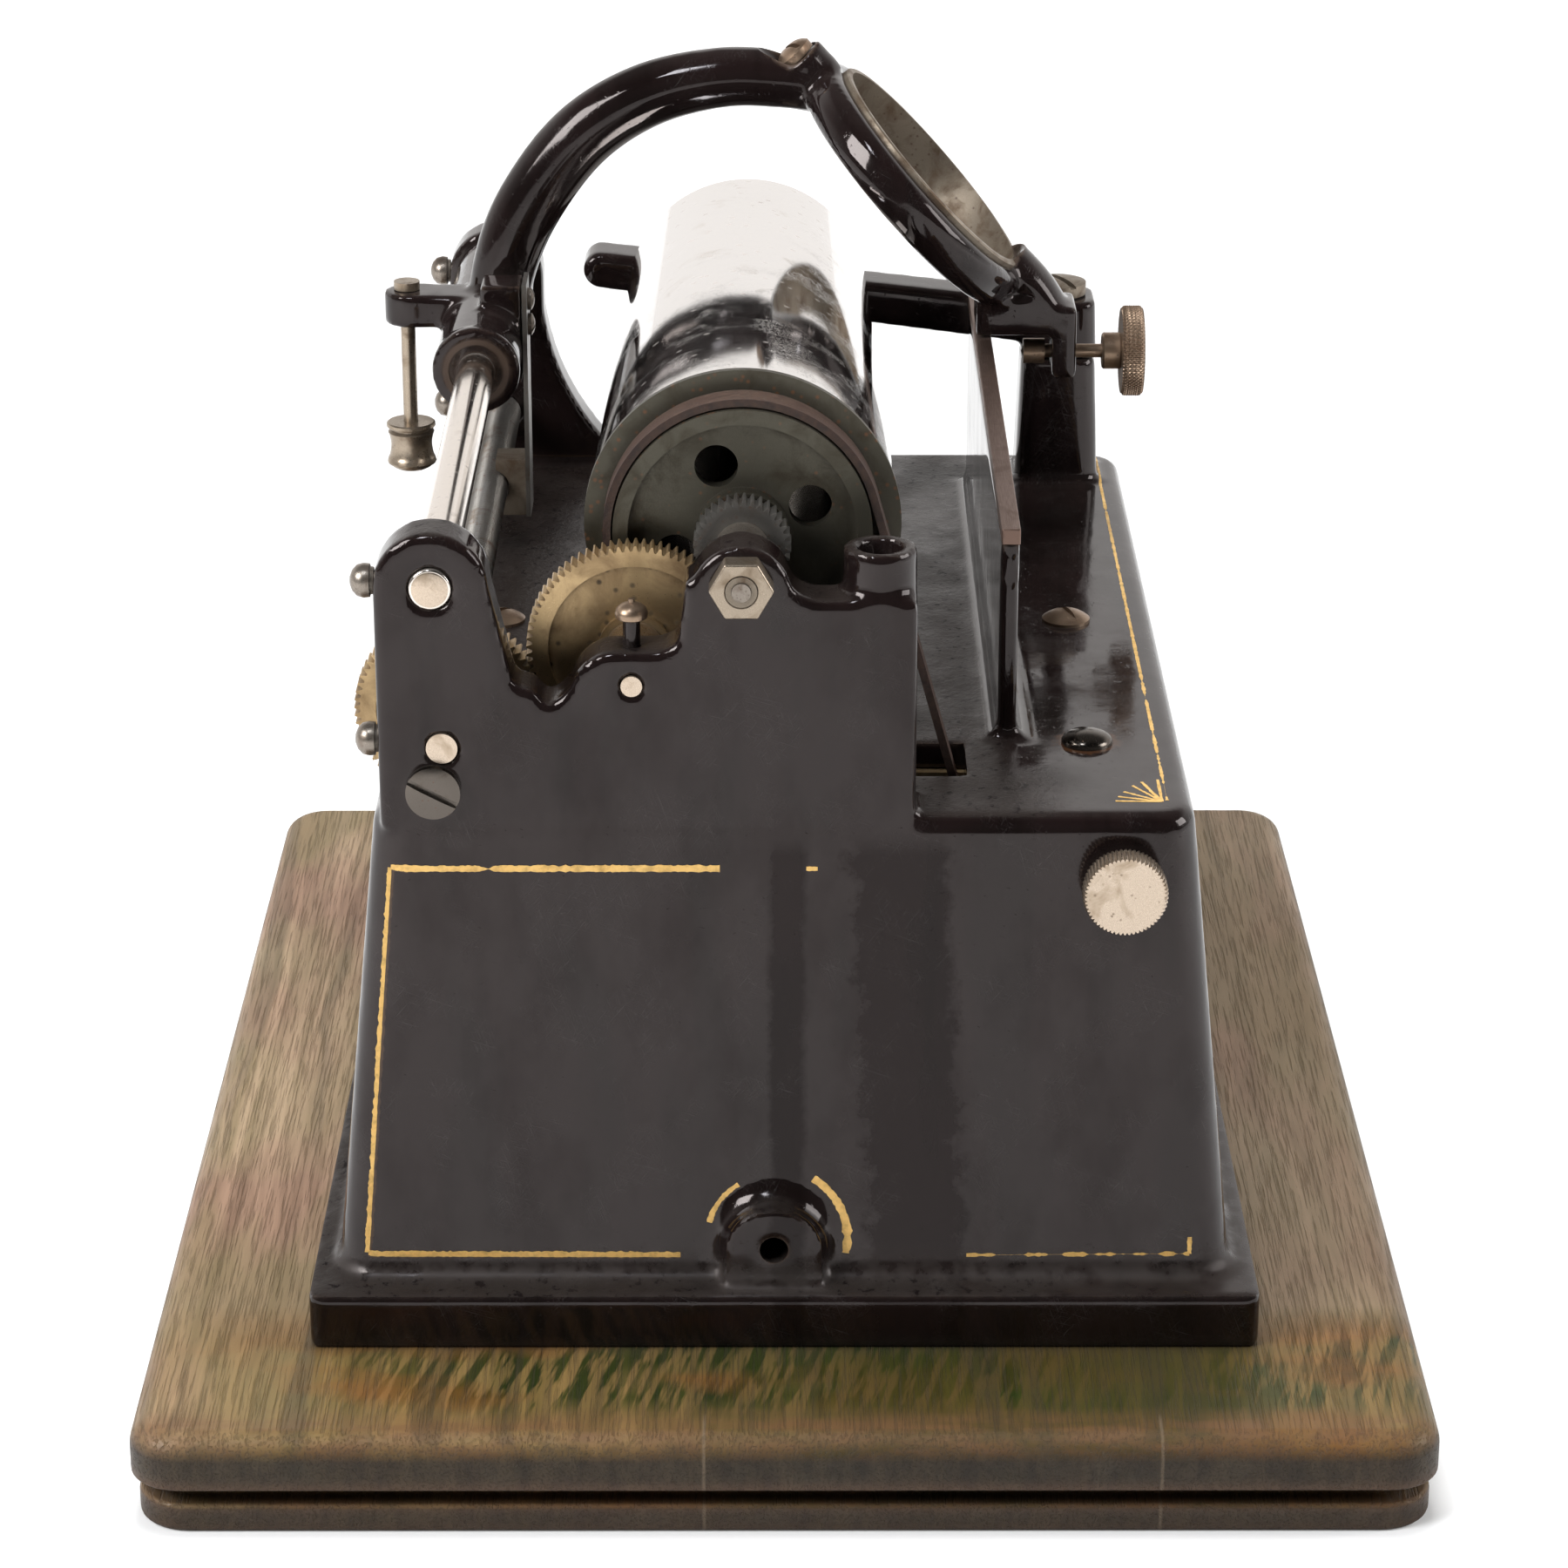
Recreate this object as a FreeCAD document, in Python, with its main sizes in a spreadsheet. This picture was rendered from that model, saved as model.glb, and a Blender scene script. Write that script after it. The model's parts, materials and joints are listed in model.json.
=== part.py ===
"""Cylinder phonograph: board, body casting, mandrel, carriage and spring motor as separate pieces.

Frame: the origin is the centre of the board's underside. X runs along the mandrel from the gears
to the gate, -Y is the operator's side, Z is up. All lengths are millimetres.
"""
import FreeCAD, Part
import math
import os

import Sketcher
from FreeCAD import Rotation, Vector

SIZES = {
    # Board: a thin slab below, a shadow groove, and the moulded board on top.
    "board_length": 253, "board_depth": 196, "board_slab": 4.6, "board_groove": 2.9,
    "board_top": 8.5, "groove_depth": 5, "slab_inset": 1, "board_bullnose": 4, "board_corner": 8,
    # Body casting: a hollow box with leaning walls, standing on the board.
    "body_height": 82.6, "body_near": -84.5, "far_margin": 7, "body_half": 61.8, "draft_angle": 5.54,
    "body_wall": 4.5, "deck_plate": 4.5, "body_corner": 6, "deck_round": 2.5,
    "lip_height": 9, "lip_width": 3, "lip_end": 5.6, "lip_corner": 1.5, "cove": 3,
    "part_margin": 0.5,
    # End wall over the deck, which carries the mandrel, the rod, the idler and the feed screw.
    "wall_width": 9, "wall_back": 60.6, "rod_boss": 8.5, "bearing_boss": 7.4, "bearing_drop": 2,
    "boss_inset": 1,
    "valley_depth": 7.2, "valley_steep": 3.6, "valley_turn": 7.6, "valley_front": 8.3, "valley_foot": 1.5,
    "valley_back_curve": 3, "valley_rise": 3.6, "valley_front_curve": 7, "shelf_half": 3.2, "shelf_curve": 8,
    "idler_cover": 5.27, "boss_root": 9.4, "boss_root_rise": 1.5, "boss_root_curve": 5, "boss_side": 8.3,
    "dip_back": 10.8, "dip_curve": 7, "dip_floor": 132.6,
    "socket_y": -14.2, "socket_x": -78.5, "socket_outer": 5.5, "socket_bore": 3.3,
    "socket_top": 139.5, "socket_depth": 22,
    # Axes of the shafts above the deck.
    "mandrel_y": 6.3, "mandrel_z": 135.5, "rod_y": 52.1, "rod_z": 134.5, "feed_y": 51, "feed_z": 109.5,
    # Gears above the deck, and how far they stand from the wall.
    "train_module": 0.4, "pinion_teeth": 35, "idler_teeth": 80, "feed_teeth": 70,
    "gear_start": -68, "gear_width": 4, "idler_bore": 3, "wheel_rim": 2.4, "wheel_web": 1.6,
    "stud_stem": 1.6, "stud_washer": 1.5, "stud_head": 1, "stud_screw": 1.2, "stud_screw_head": 2.2,
    "stud_screw_height": 4, "stud_screw_proud": 3,
    "gear_gap": 1.2, "slot_front": -28, "slot_back": 19, "slot_near": 8.5, "slot_far": 5,
    # Rod, feed screw and their bearings.
    "rod_radius": 3.175, "feed_radius": 3, "pivot_radius": 2.35, "nose_radius": 1.2, "nose_length": 2,
    "feed_start": -70.7, "far_pivot_reach": 0.5, "set_screw_radius": 1.5, "set_head_radius": 2.6,
    "set_head_height": 3.6,
    "clamp_screw_y": 52.4, "clamp_screw_z": 102.9, "clamp_head_radius": 4.1, "clamp_head_height": 1.9,
    # Mandrel.
    "shell_start": -55.1, "shell_length": 127.4, "shell_big": 23.8, "shell_small": 21.2,
    "shell_wall": 1.6, "flange_radius": 24.2, "flange_width": 1.2, "drum_radius": 19.7,
    "drum_start": -62.3, "drum_rim": 2.3, "drum_web": 2.4, "web_step": 2.3, "web_hole": 3.3,
    "web_hole_circle": 11, "web_holes": 4, "web_hole_turn": 21,
    "spigot_length": 3, "spigot_slack": 0.1, "hub_proud": 1.2,
    "hub_radius": 7, "shaft_radius": 4, "pin_proud": 0.4, "shaft_shoulder": 1.2,
    "journal_radius": 1.425, "end_disc": 6, "end_nose": 3, "dimple_radius": 1.6,
    "bush_radius": 2.35, "nut_flats": 8.4, "nut_height": 4, "nut_sides": 6,
    "bush_proud": 0.1, "bush_reach": 1,
    # Straight edge and front post.
    "edge_y": -34.75, "edge_width": 2.9, "edge_top": 134, "edge_strip": 2.6, "edge_start": -54,
    "edge_gate_gap": 1, "edge_base_start": -52.7, "edge_fillet": 3, "edge_nose_drop": 8, "edge_nose_reach": 1,
    "post_y": -49.8, "post_side": 13.4, "post_top": 121.7, "post_corner": 3, "post_draft": 2,
    # Far post of the rod, at the end of the deck.
    "far_post_width": 8.5, "far_foot_y": 28, "far_shoulder": 128, "far_sweep": 46,
    # Gate with its centre screw.
    "gate_gap": 0.3, "gate_hub_height": 10.2, "gate_clear": 7.7, "gate_width": 10, "gate_slope": 0.12,
    "gate_half": 3.3, "gate_tip": 36.5, "gate_pivot": 2.2, "gate_head": 5, "gate_head_height": 2.8,
    "gate_pivot_depth": 14, "gate_pivot_reach": 12, "gate_hub_inset": 0.2, "gate_drop": 1, "gate_root": 3,
    "gate_root_low": 1, "gate_root_high": 0.6, "gate_round": 1.2,
    "centre_radius": 2.2, "centre_reach": 1.3, "centre_cone": 3.2, "centre_boss": 3, "centre_collar": 0.5,
    "centre_head": 1.8, "centre_head_height": 2.6,
    # Carriage on the rod.
    "sleeve_gap": 1, "sleeve_length": 59.5, "sleeve_radius": 7.3, "bush_outer": 4.6,
    "collar_radius": 7.5, "collar_length": 2.2, "arm_along": 23, "arm_width": 10,
    "ring_along": 28, "ring_y": -25.4, "ring_z": 162.6, "ring_tilt": 48, "ring_outer": 25.5,
    "ring_bore": 21, "ring_thick": 8, "ring_lip": 0.8, "ring_lip_width": 1.2, "ring_stock": 1,
    "arch_foot_back": 0.9, "arch_hip_back": 1.9, "arch_hip": 13, "arch_shoulder_back": 22.5,
    "arch_shoulder": 42.8, "arch_shoulder_curve": 34.7, "arch_tip_back": 18.6, "arch_tip": 19.7,
    "arch_crown_curve": 89.6, "arch_nose_back": 21.9, "arch_nose": 13.4, "arch_heel_back": 24.5,
    "arch_heel": 11.5, "arch_under_back": 28.4, "arch_under": 36, "arch_under_curve": 41.5,
    "arch_inner_back": 11.3, "arch_inner_curve": 25.1, "arch_root_back": 6.6,
    "ear_half": 5, "ear_bottom": 135.5, "ear_top": 141.5, "ear_back": 69.6,
    "lug_along": 21, "lug_width": 12, "lug_back": -31.9, "lug_leg_back": -46.7, "lug_front": -51.2,
    "lug_leg_bottom": 126.6, "lug_gap": 0.3, "lug_front_rise": 2.2, "lug_brow_back": 7.4, "lug_brow": 10.6,
    "lug_brow_curve": 14, "lug_back_rise": 7.2, "leaf_pad_low": 6,
    # Lifting screw, clamp screw of the ring and the hanging rod with its knob.
    "lift_z": 130.3, "lift_shank": 1.2, "lift_collar": 3.2, "lift_collar_length": 3.3,
    "lift_head": 7.9, "lift_head_width": 3.8, "lift_tip_y": -42, "lift_nut": 2.2,
    "ring_screw": 1.8, "ring_screw_head": 3.7, "ring_screw_dome": 2.5, "ring_boss": 4.6,
    "ring_boss_reach": 4.5, "ring_screw_tip": 21.2, "clamp_seat_depth": 8,
    "hang_y": 65.6, "hang_rod": 1.25, "hang_bottom": 109, "hang_knob": 4.3, "hang_knob_height": 8.5,
    "hang_head": 1.4, "hang_head_rim": 1, "hang_waist": 1.1, "hang_bevel": 0.8, "hang_rim": 3,
    # Half nut and its leaf.
    "leaf_along": 12.5, "leaf_width": 9, "leaf_thick": 0.8, "leaf_bottom": 104.5, "leaf_top": 146,
    "nut_half_height": 5, "nut_lip": 1, "nut_inset": 1, "leaf_screw": 0.9, "leaf_screw_length": 3.6,
    "leaf_head": 1.9, "leaf_head_height": 1.1,
    # Front plate details: speed knob, lug with its hole, deck screws.
    "knob_y": -50.9, "knob_z": 88.6, "knob_radius": 6.4, "knob_width": 4, "knob_gap": 2.4,
    "lug_y": 1.6, "lug_hole_z": 31.5, "lug_hole": 2.6, "lug_half": 7.5, "lug_foot_half": 12,
    "lug_proud": 4.5, "lug_flare": 24,
    "deck_screw_y": 47.2, "deck_head_radius": 4, "deck_head_height": 2, "deck_screw_radius": 1.25,
    "deck_screw_length": 14.5, "base_screw_radius": 2, "base_head_radius": 3.6,
    "base_screw_y": 58.5, "base_screw_inset": 14, "base_pad": 14, "base_pad_half": 5.5,
    "base_head_sunk": 1.5, "base_screw_short": 2,
    # Motor: plates, pillars and the axes of its train, each at an angle from the one before.
    "near_plate": -53.5, "far_plate": 3.2, "plate_thick": 3, "plate_half": 54, "plate_bottom": 20,
    "pulley_y": -21, "pulley_z": 58, "pulley_radius": 14, "pulley_start": -61.8, "pulley_width": 5.5,
    "second_angle": -55, "barrel_angle": 25, "governor_angle": 138.2,
    "second_module": 0.5, "second_pinion_teeth": 20, "second_wheel_teeth": 80,
    "barrel_module": 0.6, "barrel_pinion_teeth": 20, "barrel_teeth": 90,
    "governor_module": 0.4, "governor_pinion_teeth": 14, "governor_wheel_teeth": 100,
    "train_arbor": 2.5, "second_arbor": 3, "pivot_small": 1.5, "pillar_radius": 3, "pillar_inset": 10,
    "pillar_rivet": 1.5, "pillar_edge": 6, "click_stud_proud": 1.2,
    "second_wheel_start": -44, "motor_wheel_width": 2.5, "governor_wheel_start": -38,
    "barrel_start": -31, "barrel_end": -3, "barrel_radius": 26, "barrel_wall": 2, "barrel_pinion": 6,
    "winding_arbor": 4, "winding_pivot": 3, "winding_outer": 3.6, "winding_square": 5,
    "winding_out": 9, "winding_in": 2, "spring_strip": 0.45, "spring_turns": 8, "spring_inner": 6,
    "ratchet_teeth": 24, "ratchet_radius": 9, "ratchet_depth": 1.4, "ratchet_width": 2.2,
    "click_reach": 13, "click_width": 4, "click_pin": 1.5, "click_back": 2, "click_nose": 0.3,
    "click_slim": 0.6, "click_hook": 0.8, "click_under": 1.4, "click_rise": 0.4, "click_heel": 1.2,
    "governor_arbor": 1.5, "governor_collar": 4, "governor_disc": 9, "governor_orbit": 9.3,
    "governor_leaf": 0.5, "governor_leaf_width": 3, "weight_radius": 3.5, "weight_height": 4,
    "governor_leaves": 3, "governor_turn": 30,
    "speed_shaft": 2, "speed_collar": 1.3, "brake_arm": 3, "brake_pad": 1.2,
    "hang_along": 27, "lift_along": 27, "lift_collar_start": -55.8, "lift_nut_length": 3.7, "bush_head": 5.6,
    "bush_head_depth": 2, "leaf_screw_low": 3.5, "plate_corner": 6, "governor_pivot": 1, "barrel_cover": 1.8,
    "ratchet_gap": 0.5, "click_eye": 3, "click_angle": 40, "pinion_margin": 1, "shaft_proud": 0.5,
    "governor_start": -33, "governor_length": 20, "collar_width": 3, "disc_width": 2, "leaf_rise": 4,
    # Leather belt.
    "belt_thick": 1.2, "belt_width": 5, "belt_gap": 0.3,
    # Clearances: turning fits, pieces that pass each other, and backlash as a share of a tooth.
    "running": 0.05, "passing": 0.3, "tooth_share": 0.42, "slot_width": 1.1, "slot_depth": 0.8,
    # How far a form starts inside the piece it grows from, how far a cut runs past what it cuts, how
    # much wider a free hole is than its screw, and how much an end's arc is wider than a half circle.
    "sink": 2, "cut_over": 2, "ring_cut_over": 6, "hole_slack": 0.1, "arc_slack": 0.05,
}

doc = FreeCAD.newDocument("CylinderPhonograph")
sheet = doc.addObject("Spreadsheet::Sheet", "Sizes")
for row, (alias, amount) in enumerate(SIZES.items(), start=1):
    sheet.set(f"A{row}", alias.replace("_", " "))
    sheet.set(f"B{row}", str(amount))
    sheet.setAlias(f"B{row}", alias)
doc.recompute()


class Size:
    """A size with the expression that it comes from, so that what it sets stays bound to the sheet."""

    def __init__(self, text, value):
        self.text = text
        self.value = float(value)

    def combine(self, other, sign, value):
        return Size(f"({self.text} {sign} {other.text})", value)

    def __add__(self, other):
        other = sized(other)
        return self.combine(other, "+", self.value + other.value)

    def __sub__(self, other):
        other = sized(other)
        return self.combine(other, "-", self.value - other.value)

    def __mul__(self, other):
        other = sized(other)
        return self.combine(other, "*", self.value * other.value)

    def __truediv__(self, other):
        other = sized(other)
        return self.combine(other, "/", self.value / other.value)

    def __neg__(self):
        return Size(f"(0 - {self.text})", -self.value)

    def __radd__(self, other):
        return sized(other) + self

    def __rsub__(self, other):
        return sized(other) - self

    def __rmul__(self, other):
        return sized(other) * self

    def __float__(self):
        return self.value


def sized(amount):
    """A plain number as a Size; a Size as it is."""
    return amount if isinstance(amount, Size) else Size(repr(amount), amount)


def root(amount):
    return Size(f"sqrt({amount.text})", math.sqrt(amount.value))


def cosine(angle):
    return Size(f"cos({angle.text} * 1 deg)", math.cos(math.radians(angle.value)))


def sine(angle):
    return Size(f"sin({angle.text} * 1 deg)", math.sin(math.radians(angle.value)))


def tangent(angle):
    return sine(angle) / cosine(angle)


class Sheet:
    """Every cell of the sheet as an attribute."""

    def __getattr__(self, alias):
        return Size(f"Sizes.{alias}", sheet.get(alias))


S = Sheet()

# How far a gear's teeth reach out from and in behind its pitch circle, in modules.
ADDENDUM, DEDENDUM = 0.95, 1.25

# How a piece's own axes lie: local x, y and z as directions of the frame.
TURNS = {
    "Z": Rotation(),
    "X": Rotation(Vector(0, 1, 0), Vector(0, 0, 1), Vector(1, 0, 0), "ZXY"),
    "-X": Rotation(Vector(0, -1, 0), Vector(0, 0, 1), Vector(-1, 0, 0), "ZXY"),
    "Y": Rotation(Vector(1, 0, 0), Vector(0, 0, -1), Vector(0, 1, 0), "ZXY"),
    "-Y": Rotation(Vector(1, 0, 0), Vector(0, 0, 1), Vector(0, -1, 0), "ZXY"),
    "-Z": Rotation(Vector(1, 0, 0), Vector(0, -1, 0), Vector(0, 0, -1), "ZXY"),
}
names = {}


def fresh(name):
    """A name that no other object has, for the features inside a piece."""
    names[name] = names.get(name, 0) + 1
    return name if names[name] == 1 else f"{name}_{names[name]}"


def put(item, at, turn="Z"):
    """Place an object: its turn, then its three coordinates bound to their sizes."""
    rotation = TURNS[turn] if isinstance(turn, str) else turn
    at = [sized(part) for part in at]
    item.Placement = FreeCAD.Placement(Vector(*[part.value for part in at]), rotation)
    for letter, part in zip("xyz", at):
        item.setExpression(f"Placement.Base.{letter}", part.text)
    return item


def primitive(kind, name, at, turn, **sizes):
    item = doc.addObject(f"Part::{kind}", fresh(name))
    for key, amount in sizes.items():
        item.setExpression(key, sized(amount).text)
    return put(item, at, turn)


def cylinder(name, radius, length, at, turn="X"):
    return primitive("Cylinder", name, at, turn, Radius=radius, Height=length)


def box(name, size, at, turn="Z"):
    return primitive("Box", name, at, turn, Length=size[0], Width=size[1], Height=size[2])


def block(name, low, high):
    """A box between two corners."""
    return box(name, [sized(b) - a for a, b in zip(low, high)], low)


def joined(name, pieces):
    item = doc.addObject("Part::MultiFuse", fresh(name))
    item.Shapes = pieces
    item.Refine = True
    return item


def group(name, pieces):
    """Like fasteners as one node of separate solids."""
    item = doc.addObject("Part::Compound", fresh(name))
    item.Links = pieces
    return item


def cut(name, base, tools):
    item = doc.addObject("Part::Cut", fresh(name))
    item.Base = base
    item.Tool = tools[0] if len(tools) == 1 else joined(f"{name}_cutters", tools)
    item.Refine = True
    return item


def rounded(name, base, edges, radius):
    """Round the numbered edges of an object."""
    item = doc.addObject("Part::Fillet", fresh(name))
    item.Base = base
    item.Edges = [(number, float(radius), float(radius)) for number in edges]
    return item


def shared(name, pieces):
    item = doc.addObject("Part::MultiCommon", fresh(name))
    item.Shapes = pieces
    return item


def plane(body, role):
    return next(item for item in body.Origin.OriginFeatures if item.Role == role)


def sketch_on(body, name, role="XY_Plane"):
    sketch = body.newObject("Sketcher::SketchObject", fresh(name))
    sketch.AttachmentSupport = [(plane(body, role), "")]
    sketch.MapMode = "FlatFace"
    return sketch


def arc_between(start, end, radius):
    """The short arc from start to end; a positive radius has its centre on the left of the way."""
    chord = end - start
    half = chord.Length / 2
    rise = math.sqrt(max(radius * radius - half * half, 0))
    left = Vector(-chord.y, chord.x, 0).normalize()
    side = 1 if radius > 0 else -1
    centre = (start + end) / 2 + left * rise * side
    middle = centre + ((start + end) / 2 - centre).normalize() * abs(radius)
    if rise < 1e-9:
        middle = centre - left * abs(radius) * side
    return Part.Arc(start, middle, end)


def draw(sketch, outline):
    """A closed outline of points (x, y) or (x, y, radius), the radius for an arc that leads there."""
    corners = [[sized(value) for value in point] for point in outline]
    spots = [Vector(point[0].value, point[1].value, 0) for point in corners]
    for index, point in enumerate(corners):
        start, end = spots[index - 1], spots[index]
        if len(point) == 3:
            sketch.addGeometry(arc_between(start, end, point[2].value), False)
        else:
            sketch.addGeometry(Part.LineSegment(start, end), False)
    for index, point in enumerate(corners):
        own_end = end_of(point)
        following = (index + 1) % len(corners)
        next_start = start_of(corners[following])
        sketch.addConstraint(Sketcher.Constraint("Coincident", index, own_end, following, next_start))
        for axis, value in zip(("DistanceX", "DistanceY"), point):
            hold(sketch, Sketcher.Constraint(axis, -1, 1, index, own_end, value.value), value)
        if len(point) == 3:
            size = Size(f"abs({point[2].text})", abs(point[2].value))
            hold(sketch, Sketcher.Constraint("Radius", index, size.value), size)


def start_of(point):
    """Which end of its edge is the start: an arc that turns right is stored the other way round."""
    return 2 if len(point) == 3 and point[2].value < 0 else 1


def end_of(point):
    return 3 - start_of(point)


def hold(sketch, constraint, size):
    number = sketch.addConstraint(constraint)
    sketch.setExpression(f"Constraints[{number}]", size.text)


def new_body(name):
    return doc.addObject("PartDesign::Body", fresh(name))


def turned(name, profile, at, turn="X"):
    """A turned piece: its half section as points (place along the axis, radius)."""
    body = new_body(name)
    sketch = sketch_on(body, f"{name}_section", "XZ_Plane")
    draw(sketch, [(point[1], point[0], *point[2:]) for point in profile])
    lathe = body.newObject("PartDesign::Revolution", fresh(f"{name}_turning"))
    lathe.Profile = sketch
    lathe.ReferenceAxis = (sketch, ["V_Axis"])
    lathe.Angle = 360
    return put(body, at, turn)


def ring_profile(inner, outer, start, end):
    return [(start, inner), (end, inner), (end, outer), (start, outer)]


def padded(name, outline, thickness, at, turn="X", taper=None):
    """An outline in the local plane, drawn out along local z; along X it lies in Y and Z."""
    body = new_body(name)
    sketch = sketch_on(body, f"{name}_outline")
    draw(sketch, outline)
    pad = body.newObject("PartDesign::Pad", fresh(f"{name}_pad"))
    pad.Profile = sketch
    pad.setExpression("Length", sized(thickness).text)
    if taper is not None:
        pad.setExpression("TaperAngle", sized(taper).text)
    return put(body, at, turn)


def soften(body, radius, wanted):
    """Round the edges of a body's last feature that the test picks."""
    doc.recompute()
    last = body.Tip
    chosen = [f"Edge{n}" for n, edge in enumerate(last.Shape.Edges, start=1) if wanted(edge)]
    fillet = body.newObject("PartDesign::Fillet", fresh(f"{body.Name}_rounding"))
    fillet.Base = (last, chosen)
    fillet.setExpression("Radius", sized(radius).text)
    return body


def upright(edge):
    """True for an edge that runs from the bottom of a pad to its top."""
    return edge.BoundBox.ZLength > 0.01


def level_at(height):
    return lambda edge: edge.BoundBox.ZLength < 0.01 and abs(edge.BoundBox.ZMax - float(height)) < 0.01


def rectangle(x0, x1, y0, y1):
    return [(x0, y0), (x1, y0), (x1, y1), (x0, y1)]


def drafted(name, low, high, height, depth, taper, corner):
    """A block that widens downwards from a rectangle, with rounded upright corners."""
    outline = rectangle(low[0], high[0], -sized(high[1]), -sized(low[1]))
    body = padded(name, outline, depth, (0, 0, height), "-Z", taper)
    return soften(body, corner, upright)


def screw(name, head, height, shank, length, at, turn, domed=False, spin=0):
    """A slotted screw: the head above the seat, the shank below it."""
    head_part = cylinder(f"{name}_head", head, height, (0, 0, 0), "Z")
    if domed:
        dome = primitive("Sphere", f"{name}_dome", (0, 0, height - dome_radius(head, height)), "Z",
                         Radius=dome_radius(head, height))
        head_part = shared(f"{name}_rounded", [head_part, dome])
    shank_part = cylinder(f"{name}_shank", shank, length, (0, 0, -sized(length)), "Z")
    angle = math.radians(spin)
    reach, half = head * 1.1, S.slot_width / 2
    corner = (half * math.sin(angle) - reach * math.cos(angle),
              -reach * math.sin(angle) - half * math.cos(angle), height - S.slot_depth)
    slot = box(f"{name}_slot", (reach * 2, S.slot_width, height), corner, Rotation(Vector(0, 0, 1), spin))
    whole = joined(f"{name}_blank", [head_part, shank_part])
    return put(cut(name, whole, [slot]), at, turn)


def dome_radius(head, height):
    """The sphere whose cap has the head's width at its foot and its height above that."""
    return (head * head + height * height) / (height * 2)


def solid(name, shape, at=None, turn="Z"):
    """A piece whose outline comes from a formula, as a feature with a shape of its own."""
    item = doc.addObject("Part::Feature", fresh(name))
    item.Shape = shape
    return put(item, at or (0, 0, 0), turn)


def toothed(name, teeth, module, width, bore, at, phase, share=None, slimming=0):
    """A spur gear: every tooth a blunt wedge, phase in degrees from local x to a tooth's middle."""
    count = int(round(float(teeth)))
    module = float(module)
    pitch = count * module / 2
    tip, foot = pitch + ADDENDUM * module, pitch - DEDENDUM * module
    half = float(share or S.tooth_share) * math.pi * module / 2
    lean = math.tan(math.radians(20))
    steps = [(foot, -half - (pitch - foot) * lean), (tip, -half + (tip - pitch) * lean),
             (tip, half - (tip - pitch) * lean), (foot, half + (pitch - foot) * lean)]
    points = []
    for index in range(count):
        middle = math.radians(phase + 360 * index / count)
        for radius, aside in steps:
            angle = middle + aside / radius
            points.append(Vector(radius * math.cos(angle), radius * math.sin(angle), 0))
    outer = Part.Face(Part.makePolygon(points + points[:1]))
    gear = outer.extrude(Vector(0, 0, float(width)))
    if float(bore) > 0:
        gear = gear.cut(Part.makeCylinder(float(bore), float(width)))
    return solid(name, gear, at, "X")


def mesh_phase(own_teeth, other_teeth, other_phase, towards):
    """The phase of a gear that meshes with one at the given angle (degrees) from that one."""
    own, other = float(own_teeth), float(other_teeth)
    return towards + 180 + 180 / own - (other_phase - towards) * other / own


def angle_of(start, end):
    """Degrees from one axis to another in the Y and Z plane."""
    return math.degrees(math.atan2(float(end[1]) - float(start[1]), float(end[0]) - float(start[0])))


NODES = []


def keep(label, item):
    """Take an object as a sub-part: its label is the name of its file."""
    item.Label = label
    NODES.append(item)
    return item


# Levels and axes that several pieces share.
BOARD_TOP = S.board_slab + S.board_groove + S.board_top
DECK = BOARD_TOP + S.body_height
DECK_UNDER = DECK - S.deck_plate
LEAN = tangent(S.draft_angle)
WALL_INNER = S.body_near + S.wall_width
SHELL_END = S.shell_start + S.shell_length
GATE_NEAR = SHELL_END + S.gate_clear
POST_X = GATE_NEAR + S.gate_width / 2
BODY_FAR = GATE_NEAR + S.gate_width + S.far_margin
EDGE_END = GATE_NEAR - S.edge_gate_gap
CENTRE_POINT = SHELL_END - S.centre_reach
POST_NEAR = BODY_FAR - S.far_post_width
SLEEVE_END = POST_NEAR - S.sleeve_gap
SLEEVE_START = SLEEVE_END - S.sleeve_length
RING_X = SLEEVE_START + S.ring_along
LEAF_X = SLEEVE_START + S.leaf_along
HANG_X = SLEEVE_START + S.hang_along
LIFT_X = SLEEVE_START + S.lift_along
MANDREL = (S.mandrel_y, S.mandrel_z)
ROD = (S.rod_y, S.rod_z)
FEED = (S.feed_y, S.feed_z)


def train_middle():
    """The idler's axis, from its distances to the mandrel's and to the feed screw's."""
    first = (S.pinion_teeth + S.idler_teeth) * S.train_module / 2
    second = (S.idler_teeth + S.feed_teeth) * S.train_module / 2
    across, down = S.feed_y - S.mandrel_y, S.mandrel_z - S.feed_z
    span = root(across * across + down * down)
    along = (first * first - second * second + span * span) / (span * 2)
    aside = root(first * first - along * along)
    return (S.mandrel_y + (across * along - down * aside) / span,
            S.mandrel_z - (down * along + across * aside) / span)


def stepped(start, distance, angle):
    """The axis that lies at a distance and an angle from another."""
    return (start[0] + distance * cosine(angle), start[1] + distance * sine(angle))


IDLER = train_middle()
IDLER_SHELF = IDLER[1] + S.idler_cover
VALLEY_FLOOR = IDLER_SHELF - S.valley_depth
LUG_DEPTH = S.lug_proud + S.body_wall + 2 * S.sink
PULLEY = (S.pulley_y, S.pulley_z)
SECOND = stepped(PULLEY, (S.second_pinion_teeth + S.second_wheel_teeth) * S.second_module / 2,
                 S.second_angle)
BARREL = stepped(SECOND, (S.barrel_pinion_teeth + S.barrel_teeth) * S.barrel_module / 2, S.barrel_angle)
GOVERNOR = stepped(PULLEY, (S.governor_pinion_teeth + S.governor_wheel_teeth) * S.governor_module / 2,
                   S.governor_angle)
SPEED = (S.knob_y, S.knob_z)
PLATE_INNER = S.near_plate + S.plate_thick / 2
PLATE_OUTER = S.near_plate - S.plate_thick / 2
FAR_INNER = S.far_plate - S.plate_thick / 2
FAR_OUTER = S.far_plate + S.plate_thick / 2


def on(axis, x):
    """A point on an axis that runs along X."""
    return (x, axis[0], axis[1])


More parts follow.
